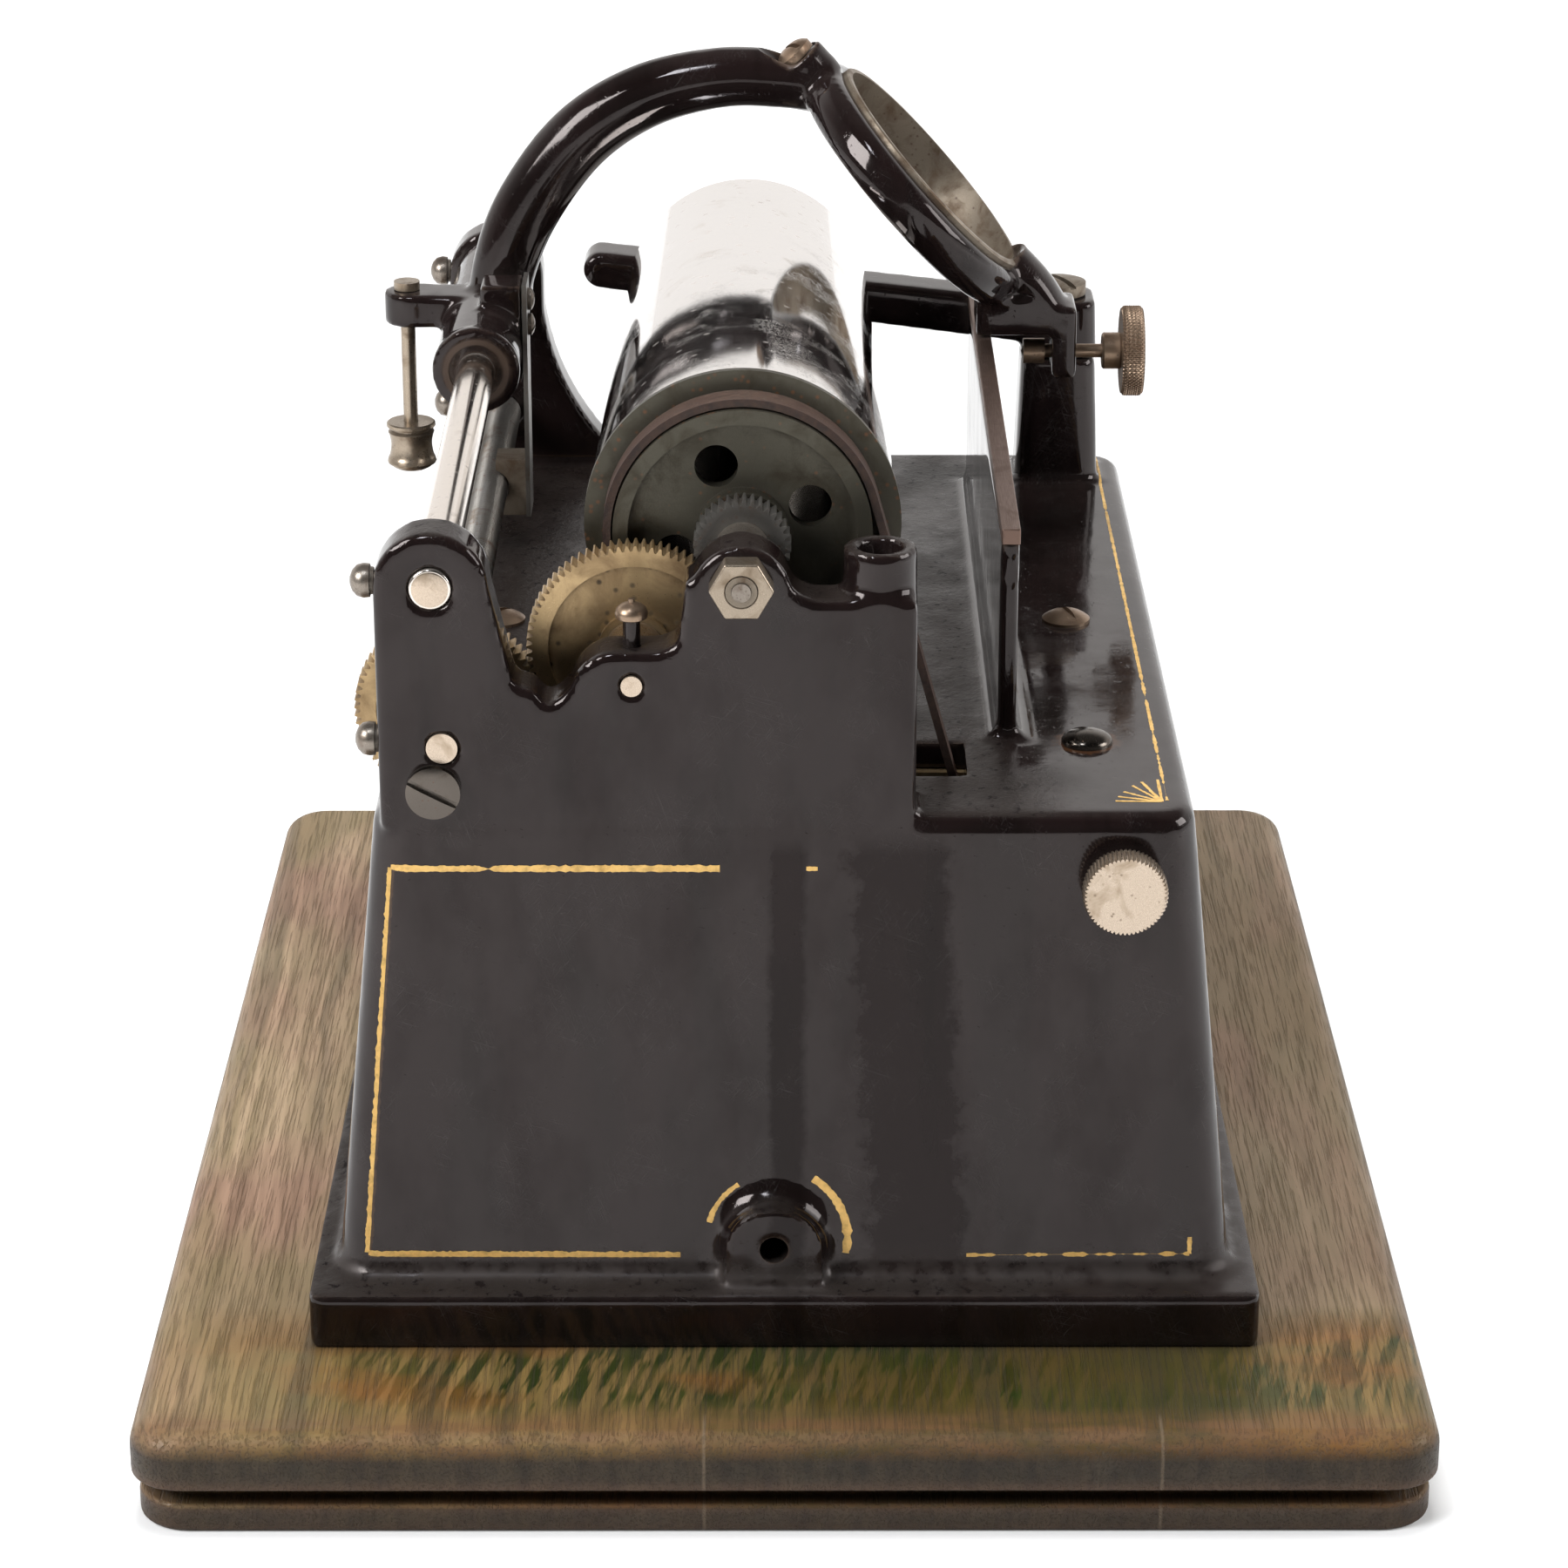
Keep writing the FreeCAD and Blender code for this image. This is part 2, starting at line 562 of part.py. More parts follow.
def leaning_near(z):
    """Where the near wall's outer face is at a height."""
    return S.body_near - (DECK - z) * LEAN


def leaning_far(z):
    return BODY_FAR + (DECK - z) * LEAN


# Board

def board():
    half_x, half_y = S.board_length / 2, S.board_depth / 2
    top_start = S.board_slab + S.board_groove
    top = padded("plinth_top", rectangle(-half_x, half_x, -half_y, half_y), S.board_top,
                 (0, 0, top_start), "Z")
    soften(top, S.board_corner, upright)
    soften(top, S.board_bullnose, level_at(S.board_top))
    slab_x, slab_y = half_x - S.slab_inset, half_y - S.slab_inset
    slab = padded("plinth_slab", rectangle(-slab_x, slab_x, -slab_y, slab_y), S.board_slab, (0, 0, 0), "Z")
    soften(slab, S.board_corner, upright)
    neck_x, neck_y = half_x - S.groove_depth, half_y - S.groove_depth
    neck = padded("plinth_neck", rectangle(-neck_x, neck_x, -neck_y, neck_y), S.board_groove,
                  (0, 0, S.board_slab), "Z")
    soften(neck, S.board_corner / 2, upright)
    clearances = [cylinder("board_hole", S.base_screw_radius + S.passing, S.board_top, (x, y, top_start), "Z")
                  for x, y in base_screw_places()]
    keep("plinth_board", cut("plinth_board", top, clearances))
    heads = [cylinder("frame_counterbore", S.base_head_radius + S.passing, S.board_slab, (x, y, 0), "Z")
             for x, y in base_screw_places()]
    shanks = [cylinder("frame_hole", S.base_screw_radius + S.passing, S.board_groove,
                       (x, y, S.board_slab), "Z") for x, y in base_screw_places()]
    keep("plinth_frame", cut("plinth_frame", joined("plinth_lower", [slab, neck]), heads + shanks))
    length = BOARD_TOP - S.board_slab + S.base_pad - S.base_screw_short
    screws = [screw("base_screw", S.base_head_radius, S.board_slab - S.base_head_sunk,
                    S.base_screw_radius, length, (x, y, S.board_slab), "-Z", spin=35 * number)
              for number, (x, y) in enumerate(base_screw_places())]
    keep("base_screws", group("base_screws", screws))


def base_screw_places():
    """The four screws that hold the casting stand in pads inside its corners."""
    rows = (S.body_near + S.base_screw_inset, BODY_FAR - S.base_screw_inset)
    return [(x, S.base_screw_y * side) for x in rows for side in (-1, 1)]


# Body casting

def end_wall():
    """The near end wall over the deck: rod boss, valley, idler shelf, bearing boss and dip."""
    back, foot = S.wall_back, DECK - S.sink
    front = S.socket_y - S.socket_outer
    rod_front = S.rod_y - S.rod_boss
    shelf_y = IDLER[0]
    valley_y = shelf_y + S.valley_front
    shelf_start = shelf_y + S.shelf_half
    root_y = S.mandrel_y + S.boss_root
    outline = [
        (back, foot), (back, S.rod_z), (rod_front, S.rod_z),
        (rod_front - S.valley_steep, VALLEY_FLOOR + S.valley_foot),
        (rod_front - S.valley_turn, VALLEY_FLOOR - S.valley_foot, S.valley_back_curve),
        (valley_y, IDLER_SHELF - S.valley_rise, -S.valley_front_curve),
        (shelf_start, IDLER_SHELF, S.shelf_curve), (shelf_y - S.shelf_half, IDLER_SHELF),
        (root_y, IDLER_SHELF + S.boss_root_rise, -S.boss_root_curve),
        (S.mandrel_y + S.boss_side, S.mandrel_z), (S.mandrel_y - S.bearing_boss + S.boss_inset, S.mandrel_z),
        (S.mandrel_y - S.dip_back, S.dip_floor, -S.dip_curve),
        (S.socket_y, S.dip_floor), (front, S.dip_floor), (front, foot),
    ]
    wall = padded("end_wall", outline, S.wall_width, (S.body_near, 0, 0))
    rod = cylinder("rod_boss", S.rod_boss, S.wall_width, on(ROD, S.body_near))
    bearing = cylinder("bearing_boss", S.bearing_boss, S.wall_width,
                       (S.body_near, S.mandrel_y, S.mandrel_z - S.bearing_drop))
    socket = cylinder("socket_boss", S.socket_outer, S.socket_top - foot, (S.socket_x, S.socket_y, foot), "Z")
    return [wall, rod, bearing, socket]


def far_post():
    """The post at the far end that holds the rod and the feed screw, with its sweeping foot."""
    foot = DECK - S.sink
    rod_front = S.rod_y - S.rod_boss
    outline = [
        (S.wall_back, foot), (S.wall_back, S.rod_z), (rod_front, S.rod_z), (rod_front, S.far_shoulder),
        (S.far_foot_y, DECK, -S.far_sweep), (S.far_foot_y, foot),
    ]
    post = padded("far_post", outline, S.far_post_width, (POST_NEAR, 0, 0))
    return [post, cylinder("far_rod_boss", S.rod_boss, S.far_post_width, on(ROD, POST_NEAR))]


def front_post():
    half = S.post_side / 2
    low, high = (POST_X - half, S.post_y - half), (POST_X + half, S.post_y + half)
    return [drafted("front_post", low, high, S.post_top, S.post_top - DECK + S.sink, S.post_draft,
                    S.post_corner)]


def edge_web():
    """The rib under the straight edge, with fillets where it rises from the deck."""
    half = S.edge_width / 2
    top = S.edge_top - S.edge_strip
    foot = S.edge_fillet
    outline = [
        (S.edge_y - half - foot, DECK - S.sink), (S.edge_y + half + foot, DECK - S.sink),
        (S.edge_y + half + foot, DECK),
        (S.edge_y + half, DECK + foot, -foot), (S.edge_y + half, top), (S.edge_y - half, top),
        (S.edge_y - half, DECK + foot), (S.edge_y - half - foot, DECK, -foot),
    ]
    web = padded("edge_web", outline, EDGE_END - S.edge_base_start, (S.edge_base_start, 0, 0))
    nose = padded("edge_nose", [(S.edge_start, top), (S.edge_base_start, top - S.edge_nose_drop),
                                (S.edge_base_start, top)],
                  S.edge_width, (0, S.edge_y + half, 0), "-Y")
    return [web, nose]


def front_lug():
    """The lug low on the near wall, arched over its hole."""
    base = BOARD_TOP
    shoulder = S.lug_hole_z
    outline = [
        (S.lug_y + S.lug_foot_half, base),
        (S.lug_y + S.lug_half, shoulder, -S.lug_flare),
        (S.lug_y - S.lug_half, shoulder, S.lug_half + S.arc_slack),
        (S.lug_y - S.lug_foot_half, base, -S.lug_flare),
    ]
    return padded("front_lug", outline, LUG_DEPTH, (leaning_near(shoulder) - S.lug_proud, 0, 0))


def hollow():
    """The space inside the casting, open below."""
    low = (S.body_near + S.body_wall, S.body_wall - S.body_half)
    high = (BODY_FAR - S.body_wall, S.body_half - S.body_wall)
    return drafted("casting_hollow", low, high, DECK_UNDER, DECK_UNDER - BOARD_TOP, S.draft_angle,
                   S.body_corner - S.body_wall)


def shell():
    """The box of the casting: leaning walls, a lip round the foot and a cove above the lip."""
    low, high = (S.body_near, -S.body_half), (BODY_FAR, S.body_half)
    walls = drafted("casting_walls", low, high, DECK, S.body_height, S.draft_angle, S.body_corner)
    soften(walls, S.deck_round, level_at(0))
    flare = S.body_height * LEAN
    along, aside = flare + S.lip_end, S.body_half + flare + S.lip_width
    lip = padded("casting_lip", rectangle(S.body_near - along, BODY_FAR + along, -aside, aside),
                 S.lip_height, (0, 0, BOARD_TOP), "Z")
    soften(lip, S.lip_corner, upright)
    foot = joined("casting_foot", [walls, lip])
    doc.recompute()
    level = BOARD_TOP + S.lip_height
    slack = 0.5
    near, far = float(leaning_near(level)) - slack, float(leaning_far(level)) + slack
    side = float(S.body_half + (DECK - level) * LEAN) + slack
    limit = Part.makeBox(far - near, 2 * side, 2 * slack, Vector(near, -side, float(level) - slack))
    coved = [number for number, edge in enumerate(foot.Shape.Edges, start=1)
             if level_at(level)(edge) and limit.BoundBox.isInside(edge.BoundBox)]
    return [rounded("casting_coved", foot, coved, S.cove)]


def casting_bores():
    """Every hole in the casting, each from the size of what goes through it."""
    through, over = S.wall_width, S.cut_over
    near, far = S.body_near, POST_NEAR
    bores = []
    for name, radius, axis in (("rod", S.rod_radius, ROD), ("pivot", S.pivot_radius, FEED)):
        bores.append(cylinder(f"{name}_bore", radius, through, on(axis, near)))
        bores.append(cylinder(f"{name}_far_bore", radius, S.far_post_width, on(axis, far)))
    bores.append(cylinder("bush_bore", S.bush_radius, through, on(MANDREL, near)))
    bores.append(cylinder("idler_bore", S.stud_stem, through, on(IDLER, near)))
    bores.append(cylinder("clamp_bore", S.set_screw_radius, through,
                          (near, S.clamp_screw_y, S.clamp_screw_z)))
    bores.append(cylinder("socket_bore", S.socket_bore, S.socket_depth,
                          (S.socket_x, S.socket_y, S.socket_top - S.socket_depth), "Z"))
    bores.append(cylinder("stud_screw_bore", S.stud_screw, IDLER_SHELF - IDLER[1],
                          (S.body_near + S.wall_width / 2, IDLER[0], IDLER[1]), "Z"))
    for x, y, z in set_screw_places():
        bores.append(cylinder("set_screw_bore", S.set_screw_radius, S.wall_back - y, (x, y, z), "Y"))
    bores.append(cylinder("speed_bore", S.speed_shaft + S.running, S.body_wall + 2 * over,
                          on(SPEED, leaning_near(SPEED[1]) - over)))
    bores.append(cylinder("winding_bore", S.winding_outer + S.passing, S.body_wall + 2 * over,
                          on(BARREL, leaning_far(BARREL[1]) - S.body_wall - over)))
    bores.append(cylinder("lug_bore", S.lug_hole, LUG_DEPTH + 2 * over,
                          (leaning_near(S.lug_hole_z) - S.lug_proud - over, S.lug_y, S.lug_hole_z)))
    for x, y in deck_screw_places():
        bores.append(cylinder("deck_bore", S.deck_screw_radius + S.hole_slack, S.deck_plate + over,
                              (x, y, DECK_UNDER - over / 2), "Z"))
    for x, y in base_screw_places():
        bores.append(cylinder("pad_bore", S.base_screw_radius, S.base_pad, (x, y, BOARD_TOP), "Z"))
    bores.append(cylinder("gate_pivot_bore", S.gate_pivot, S.gate_pivot_depth,
                          (POST_X, S.post_y, S.post_top - S.gate_pivot_depth), "Z"))
    return bores


def set_screw_places():
    """Where each bearing screw meets its rod or pivot: X of the screw, Y of the metal, height."""
    near_x, far_x = S.body_near + S.wall_width / 2, POST_NEAR + S.far_post_width / 2
    return [(x, axis[0] + radius, axis[1]) for x in (near_x, far_x)
            for axis, radius in ((ROD, S.rod_radius), (FEED, S.pivot_radius))]


def deck_screw_places():
    return [(x, S.deck_screw_y * side) for x in (S.near_plate, S.far_plate) for side in (-1, 1)]


def deck_slots():
    """The slot for the belt, and the gap for the feed gear, which dips into the deck's back edge."""
    drum_middle = S.drum_start + (S.shell_start - S.drum_start) / 2
    gear_tip = S.feed_teeth * S.train_module / 2 + S.train_module
    slot = block("belt_slot", (drum_middle - S.slot_near, S.slot_front, DECK_UNDER - S.cut_over),
                 (drum_middle + S.slot_far, S.slot_back, DECK + S.cut_over))
    gap = cylinder("gear_gap", gear_tip + S.gear_gap, S.gear_width + 2 * S.gear_gap,
                   on(FEED, S.gear_start - S.gear_gap))
    return [slot, gap]


def casting():
    pads = []
    for x, y in base_screw_places():
        half = S.base_pad_half
        pads.append(block("base_pad", (x - half, y - 2 * half, BOARD_TOP),
                          (x + half, y + 2 * half, BOARD_TOP + S.base_pad)))
    solid_parts = shell() + end_wall() + far_post() + front_post() + edge_web()
    inside = hollow()
    open_box = cut("casting_box", joined("casting_solid", solid_parts), [inside])
    lug = front_lug()
    pad_block = shared("casting_pads", [joined("base_pads", pads), solid_envelope()])
    whole = cut("casting_whole", joined("casting_uncut", [open_box, lug, pad_block]),
                casting_bores() + deck_slots())
    for label, low, high in casting_rooms():
        keep(label, shared(label, [whole, block(label + "_room", low, high)]))


def casting_rooms():
    """Rooms that part the casting into nodes of plain shape: a deck, four walls and four uprights."""
    half_x, half_y = S.board_length / 2, S.board_depth / 2
    inner_near = S.body_near + S.body_wall + S.part_margin
    inner_far = BODY_FAR - S.body_wall - S.part_margin
    under = DECK_UNDER - S.part_margin
    beside_wall = (WALL_INNER + S.edge_start) / 2
    before_web = (S.post_y + S.post_side / 2 + S.edge_y - S.edge_width / 2 - S.edge_fillet) / 2
    behind_web = (S.edge_y + S.far_foot_y) / 2
    top = S.rod_z + S.rod_boss + S.cut_over
    return [
        ("casting_near_wall", (-half_x, -half_y, BOARD_TOP), (inner_near, half_y, under)),
        ("casting_far_wall", (inner_far, -half_y, BOARD_TOP), (half_x, half_y, under)),
        ("casting_front_wall", (inner_near, -half_y, BOARD_TOP), (inner_far, 0, under)),
        ("casting_back_wall", (inner_near, 0, BOARD_TOP), (inner_far, half_y, under)),
        ("casting_deck", (-half_x, -half_y, under), (half_x, half_y, DECK)),
        ("casting_end_wall", (-half_x, -half_y, DECK), (beside_wall, half_y, top)),
        ("casting_front_post", (beside_wall, -half_y, DECK), (half_x, before_web, top)),
        ("casting_edge_web", (beside_wall, before_web, DECK), (half_x, behind_web, top)),
        ("casting_far_post", (beside_wall, behind_web, DECK), (half_x, half_y, top)),
    ]


def solid_envelope():
    """The casting's walls without their hollow, which the corner pads are trimmed to."""
    inset = S.body_wall / 4
    low, high = (S.body_near + inset, inset - S.body_half), (BODY_FAR - inset, S.body_half - inset)
    return drafted("casting_envelope", low, high, DECK - inset, S.body_height - inset, S.draft_angle,
                   S.body_corner - inset)


# Rod, feed screw and their bearings

def pivot_profile(reach):
    """A bearing pin with the thin nose that the feed screw turns on."""
    return [(0, 0), (reach + S.nose_length, 0), (reach + S.nose_length, S.nose_radius),
            (reach, S.nose_radius), (reach, S.pivot_radius), (0, S.pivot_radius)]


def rod_and_bearings():
    length = BODY_FAR - S.body_near
    keep("back_rod", cylinder("back_rod", S.rod_radius, length, on(ROD, S.body_near)))
    seats = [screw("set_screw", S.set_head_radius, S.set_head_height, S.set_screw_radius, S.wall_back - y,
                   (x, S.wall_back, z), "Y", spin=25 + 40 * number)
             for number, (x, y, z) in enumerate(set_screw_places())]
    keep("bearing_set_screws", group("bearing_set_screws", seats))
    near_reach = S.feed_start - S.body_near - S.passing
    keep("feed_pivot_near", turned("feed_pivot_near", pivot_profile(near_reach), on(FEED, S.body_near)))
    keep("feed_pivot_far", turned("feed_pivot_far", pivot_profile(S.far_post_width + S.far_pivot_reach),
                                  on(FEED, BODY_FAR), "-X"))
    keep("pivot_clamp_screw", screw("pivot_clamp_screw", S.clamp_head_radius, S.clamp_head_height,
                                    S.set_screw_radius, S.wall_width,
                                    (S.body_near, S.clamp_screw_y, S.clamp_screw_z), "-X", spin=15))


def feed_screw():
    """The long screw that moves the carriage, with a hole in each end for its pivots, and its gear."""
    far = POST_NEAR - S.far_pivot_reach - S.passing
    length = far - S.feed_start
    hole, depth = S.nose_radius + S.running, S.nose_length + S.passing
    profile = [(0, hole), (depth, hole), (depth, 0), (length - depth, 0), (length - depth, hole),
               (length, hole), (length, S.feed_radius), (0, S.feed_radius)]
    keep("feed_screw", turned("feed_screw", profile, on(FEED, S.feed_start)))
    keep("feed_gear", spoked("feed_gear", S.feed_teeth, S.feed_radius, on(FEED, S.gear_start), FEED_PHASE))


def spoked(name, teeth, bore, at, phase):
    """A gear of the upper train, turned thinner between its rim and its hub."""
    blank = toothed(f"{name}_blank", teeth, S.train_module, S.gear_width, bore, at, phase)
    foot = teeth * S.train_module / 2 - S.train_module * DEDENDUM
    depth = (S.gear_width - S.wheel_web) / 2
    hub = bore + S.wheel_rim
    recess = ring_profile(hub, foot - S.wheel_rim, sized(0), depth)
    near = turned(f"{name}_recess", recess, at)
    far = turned(f"{name}_back_recess", recess, (at[0] + S.gear_width - depth, at[1], at[2]))
    return cut(name, blank, [near, far])


def idler():
    """The idler turns on a shouldered stud, which a screw from above clamps in the wall."""
    keep("idler_gear", spoked("idler_gear", S.idler_teeth, S.idler_bore + S.running, on(IDLER, S.gear_start),
                              IDLER_PHASE))
    wall, shoulder = S.wall_width, S.gear_start - S.body_near - S.passing
    journal = shoulder + S.gear_width + 2 * S.passing
    washer, stem = S.idler_bore + S.stud_washer, S.stud_stem
    head = journal + S.stud_head
    profile = [(0, 0), (head, 0), (head, washer), (journal, washer), (journal, S.idler_bore),
               (shoulder, S.idler_bore), (shoulder, washer), (wall, washer), (wall, stem), (0, stem)]
    keep("idler_stud", turned("idler_stud", profile, on(IDLER, S.body_near)))
    seat = IDLER[1] + stem
    top = IDLER_SHELF + S.stud_screw_proud
    keep("stud_clamp_screw", screw("stud_clamp_screw", S.stud_screw_head, S.stud_screw_height, S.stud_screw,
                                   top - seat, (S.body_near + wall / 2, IDLER[0], top), "Z", True, 20))


# Mandrel

def shell_outer(x):
    """The tapering shell's radius at a place along X."""
    return S.shell_big - (x - S.shell_start) * (S.shell_big - S.shell_small) / S.shell_length


def mandrel():
    start, end = S.shell_start, S.shell_start + S.shell_length
    inner_start, inner_end = shell_outer(start) - S.shell_wall, shell_outer(end) - S.shell_wall
    profile = [(0, inner_start), (S.shell_length, inner_end), (S.shell_length, shell_outer(end)),
               (0, shell_outer(start))]
    keep("mandrel_shell", turned("mandrel_shell", profile, on(MANDREL, start)))
    keep("mandrel_pulley", mandrel_pulley())
    disc_start = end - S.end_disc
    profile = [(0, S.end_nose), (S.end_disc, S.end_nose), (S.end_disc, inner_end),
               (0, shell_outer(disc_start) - S.shell_wall)]
    keep("mandrel_end_hub", turned("mandrel_end_hub", profile, on(MANDREL, disc_start)))
    keep("mandrel_pinion", toothed("mandrel_pinion", S.pinion_teeth, S.train_module, S.gear_width,
                                   S.shaft_radius, on(MANDREL, S.gear_start), PINION_PHASE))
    pin_start = S.body_near - S.nut_height - S.pin_proud
    shoulder = WALL_INNER + S.shaft_shoulder - pin_start
    nose_start, nose_end = disc_start - pin_start, end - S.passing - pin_start
    profile = [(0, 0), (nose_end - S.dimple_radius, 0), (nose_end, S.dimple_radius), (nose_end, S.end_nose),
               (nose_start, S.end_nose), (nose_start, S.shaft_radius), (shoulder, S.shaft_radius),
               (shoulder, S.journal_radius), (0, S.journal_radius)]
    keep("mandrel_shaft", turned("mandrel_shaft", profile, on(MANDREL, pin_start)))


def mandrel_pulley():
    """Belt drum, web with four holes, flange and the spigot that carries the shell."""
    start = S.drum_start
    web = S.web_step
    web_end = web + S.drum_web
    flange = S.shell_start - S.flange_width - start
    face = S.shell_start - start
    spigot = S.shell_big - S.shell_wall - S.spigot_slack
    inner = S.drum_radius - S.drum_rim
    hub_out = S.hub_proud
    profile = [
        (-hub_out, S.shaft_radius), (face + S.spigot_length, S.shaft_radius),
        (face + S.spigot_length, S.hub_radius), (web_end, S.hub_radius), (web_end, inner),
        (face + S.spigot_length, inner), (face + S.spigot_length, spigot), (face, spigot),
        (face, S.flange_radius), (flange, S.flange_radius), (flange, S.drum_radius), (0, S.drum_radius),
        (0, inner), (web, inner), (web, S.hub_radius), (-hub_out, S.hub_radius),
    ]
    blank = turned("mandrel_pulley_blank", profile, on(MANDREL, start))
    holes = []
    count = int(float(S.web_holes))
    for number in range(count):
        angle = math.radians(float(S.web_hole_turn) + 360 * number / count)
        y = MANDREL[0] - S.web_hole_circle * math.cos(angle)
        z = MANDREL[1] + S.web_hole_circle * math.sin(angle)
        holes.append(cylinder("pulley_hole", S.web_hole, web_end + 2 * S.cut_over,
                              (start - S.cut_over, y, z)))
    return cut("mandrel_pulley", blank, holes)


def mandrel_bearing():
    """The threaded bush that the shaft's thin end turns in, and its hexagonal locknut."""
    length = S.wall_width + S.nut_height + S.bush_proud + S.bush_reach
    profile = ring_profile(S.journal_radius + S.running, S.bush_radius, sized(0), length)
    keep("mandrel_bearing_bush", turned("mandrel_bearing_bush", profile,
                                        on(MANDREL, S.body_near - S.nut_height - S.bush_proud)))
    corner = S.nut_flats / math.sqrt(3)
    sides = int(float(S.nut_sides))
    angles = [2 * math.pi * side / sides for side in range(sides)]
    points = [(corner * math.cos(angle), corner * math.sin(angle)) for angle in angles]
    nut = padded("locknut_blank", points, S.nut_height, on(MANDREL, S.body_near - S.nut_height))
    bore = cylinder("locknut_bore", S.bush_radius, S.nut_height, on(MANDREL, S.body_near - S.nut_height))
    keep("bearing_locknut", cut("bearing_locknut", nut, [bore]))


# Straight edge and gate

def straight_edge():
    half = S.edge_width / 2
    low = (S.edge_start - S.edge_nose_reach, S.edge_y - half, S.edge_top - S.edge_strip)
    high = (EDGE_END, S.edge_y + half, S.edge_top)
    keep("straight_edge_strip", block("straight_edge_strip", low, high))


def gate():
    """The swinging arm over the far end of the mandrel, hinged on the front post."""
    bottom = S.post_top + S.gate_gap
    top = bottom + S.gate_hub_height
    half = S.post_side / 2 - S.gate_hub_inset
    low, high = (POST_X - half, S.post_y - half), (POST_X + half, S.post_y + half)
    hub = drafted("gate_hub", low, high, top, S.gate_hub_height, S.post_draft, S.post_corner)

    def middle(y):
        return S.mandrel_z - S.gate_drop + (y - S.mandrel_y) * S.gate_slope

    start, tip = S.post_y + S.gate_root, S.gate_tip - S.gate_half
    outline = [(start, middle(start) - S.gate_half - S.gate_root_low), (tip, middle(tip) - S.gate_half),
               (tip, middle(tip) + S.gate_half, S.gate_half + S.arc_slack),
               (start, middle(start) + S.gate_half + S.gate_root_high)]
    arm = padded("gate_bar", outline, S.gate_width, (GATE_NEAR, 0, 0))
    long_edge = 2 * float(S.gate_width)
    soften(arm, S.gate_round, lambda edge: edge.BoundBox.YLength > long_edge and edge.BoundBox.ZLength < 0.01
           or edge.BoundBox.XLength > long_edge)
    collar, over = S.centre_collar, S.cut_over
    boss = cylinder("centre_boss", S.centre_radius + S.centre_boss, S.gate_width + 2 * collar,
                    on(MANDREL, GATE_NEAR - collar))
    solid_arm = joined("gate_solid", [hub, arm, boss])
    pivot = cylinder("gate_pivot_hole", S.gate_pivot + S.running, S.gate_hub_height + 2 * over,
                     (POST_X, S.post_y, bottom - over), "Z")
    thread = cylinder("gate_centre_hole", S.centre_radius, S.gate_width + 2 * over,
                      on(MANDREL, GATE_NEAR - over))
    keep("gate_arm", cut("gate_arm", solid_arm, [pivot, thread]))
    keep("gate_pivot_screw", screw("gate_pivot_screw", S.gate_head, S.gate_head_height, S.gate_pivot,
                                   S.gate_hub_height + 2 * S.gate_gap + S.gate_pivot_reach,
                                   (POST_X, S.post_y, top + S.gate_gap), "Z", spin=65))
    seat = GATE_NEAR + S.gate_width + collar
    cone_start = CENTRE_POINT + S.centre_cone
    point = turned("gate_centre_point",
                   [(0, 0), (S.centre_cone, S.centre_radius), (seat - CENTRE_POINT, S.centre_radius),
                    (seat - CENTRE_POINT, 0)], on(MANDREL, CENTRE_POINT))
    head = screw("gate_centre_head", S.centre_radius + S.centre_head, S.centre_head_height, S.centre_radius,
                 seat - cone_start, on(MANDREL, seat), "X", spin=30)
    keep("gate_centre", joined("gate_centre", [point, head]))


# Carriage

def ring_point(back, up):
    """A point in the ring's own frame: back along the ring's plane, up along its axis."""
    return (RING_X, S.ring_y + back * cosine(S.ring_tilt) - up * sine(S.ring_tilt),
            S.ring_z + back * sine(S.ring_tilt) + up * cosine(S.ring_tilt))


RING_TURN = Rotation(Vector(1, 0, 0), float(S.ring_tilt))
CLAMP_TURN = Rotation(Vector(1, 0, 0), float(S.ring_tilt) - 90)


def arch_arm():
    """The arm that arches from the sleeve over the mandrel to the ring."""
    rod_y, rod_z, ring_y, ring_z = S.rod_y, S.rod_z, S.ring_y, S.ring_z
    hip = rod_z + S.arch_hip
    outline = [
        (rod_y + S.arch_foot_back, rod_z), (rod_y - S.arch_hip_back, hip),
        (rod_y - S.arch_shoulder_back, rod_z + S.arch_shoulder, S.arch_shoulder_curve),
        (ring_y + S.arch_tip_back, ring_z + S.arch_tip, S.arch_crown_curve),
        (ring_y + S.arch_nose_back, ring_z + S.arch_nose), (ring_y + S.arch_heel_back, ring_z + S.arch_heel),
        (rod_y - S.arch_under_back, rod_z + S.arch_under, -S.arch_under_curve),
        (rod_y - S.arch_inner_back, hip, -S.arch_inner_curve), (rod_y - S.arch_root_back, rod_z + S.sink),
    ]
    return padded("arch_arm", outline, S.arm_width, (SLEEVE_START + S.arm_along, 0, 0))


def front_lug_of_carriage():
    """The lug in front of the ring: it rests over the straight edge, and its leg holds the lifting screw."""
    rest = S.edge_top + S.lug_gap
    outline = [
        (S.lug_back, rest), (S.lug_leg_back, rest), (S.lug_leg_back, S.lug_leg_bottom),
        (S.lug_front, S.lug_leg_bottom), (S.lug_front, rest + S.lug_front_rise),
        (S.lug_back - S.lug_brow_back, rest + S.lug_brow, -S.lug_brow_curve),
        (S.lug_back, rest + S.lug_back_rise),
    ]
    return padded("carriage_lug", outline, S.lug_width, (SLEEVE_START + S.lug_along, 0, 0))


def ear():
    """The ear behind the sleeve that the rod hangs from."""
    middle, tip = HANG_X, S.ear_back - S.ear_half
    arm = block("ear_arm", (middle - S.ear_half, S.rod_y, S.ear_bottom),
                (middle + S.ear_half, tip, S.ear_top))
    end = cylinder("ear_end", S.ear_half, S.ear_top - S.ear_bottom, (middle, tip, S.ear_bottom), "Z")
    return [arm, end]


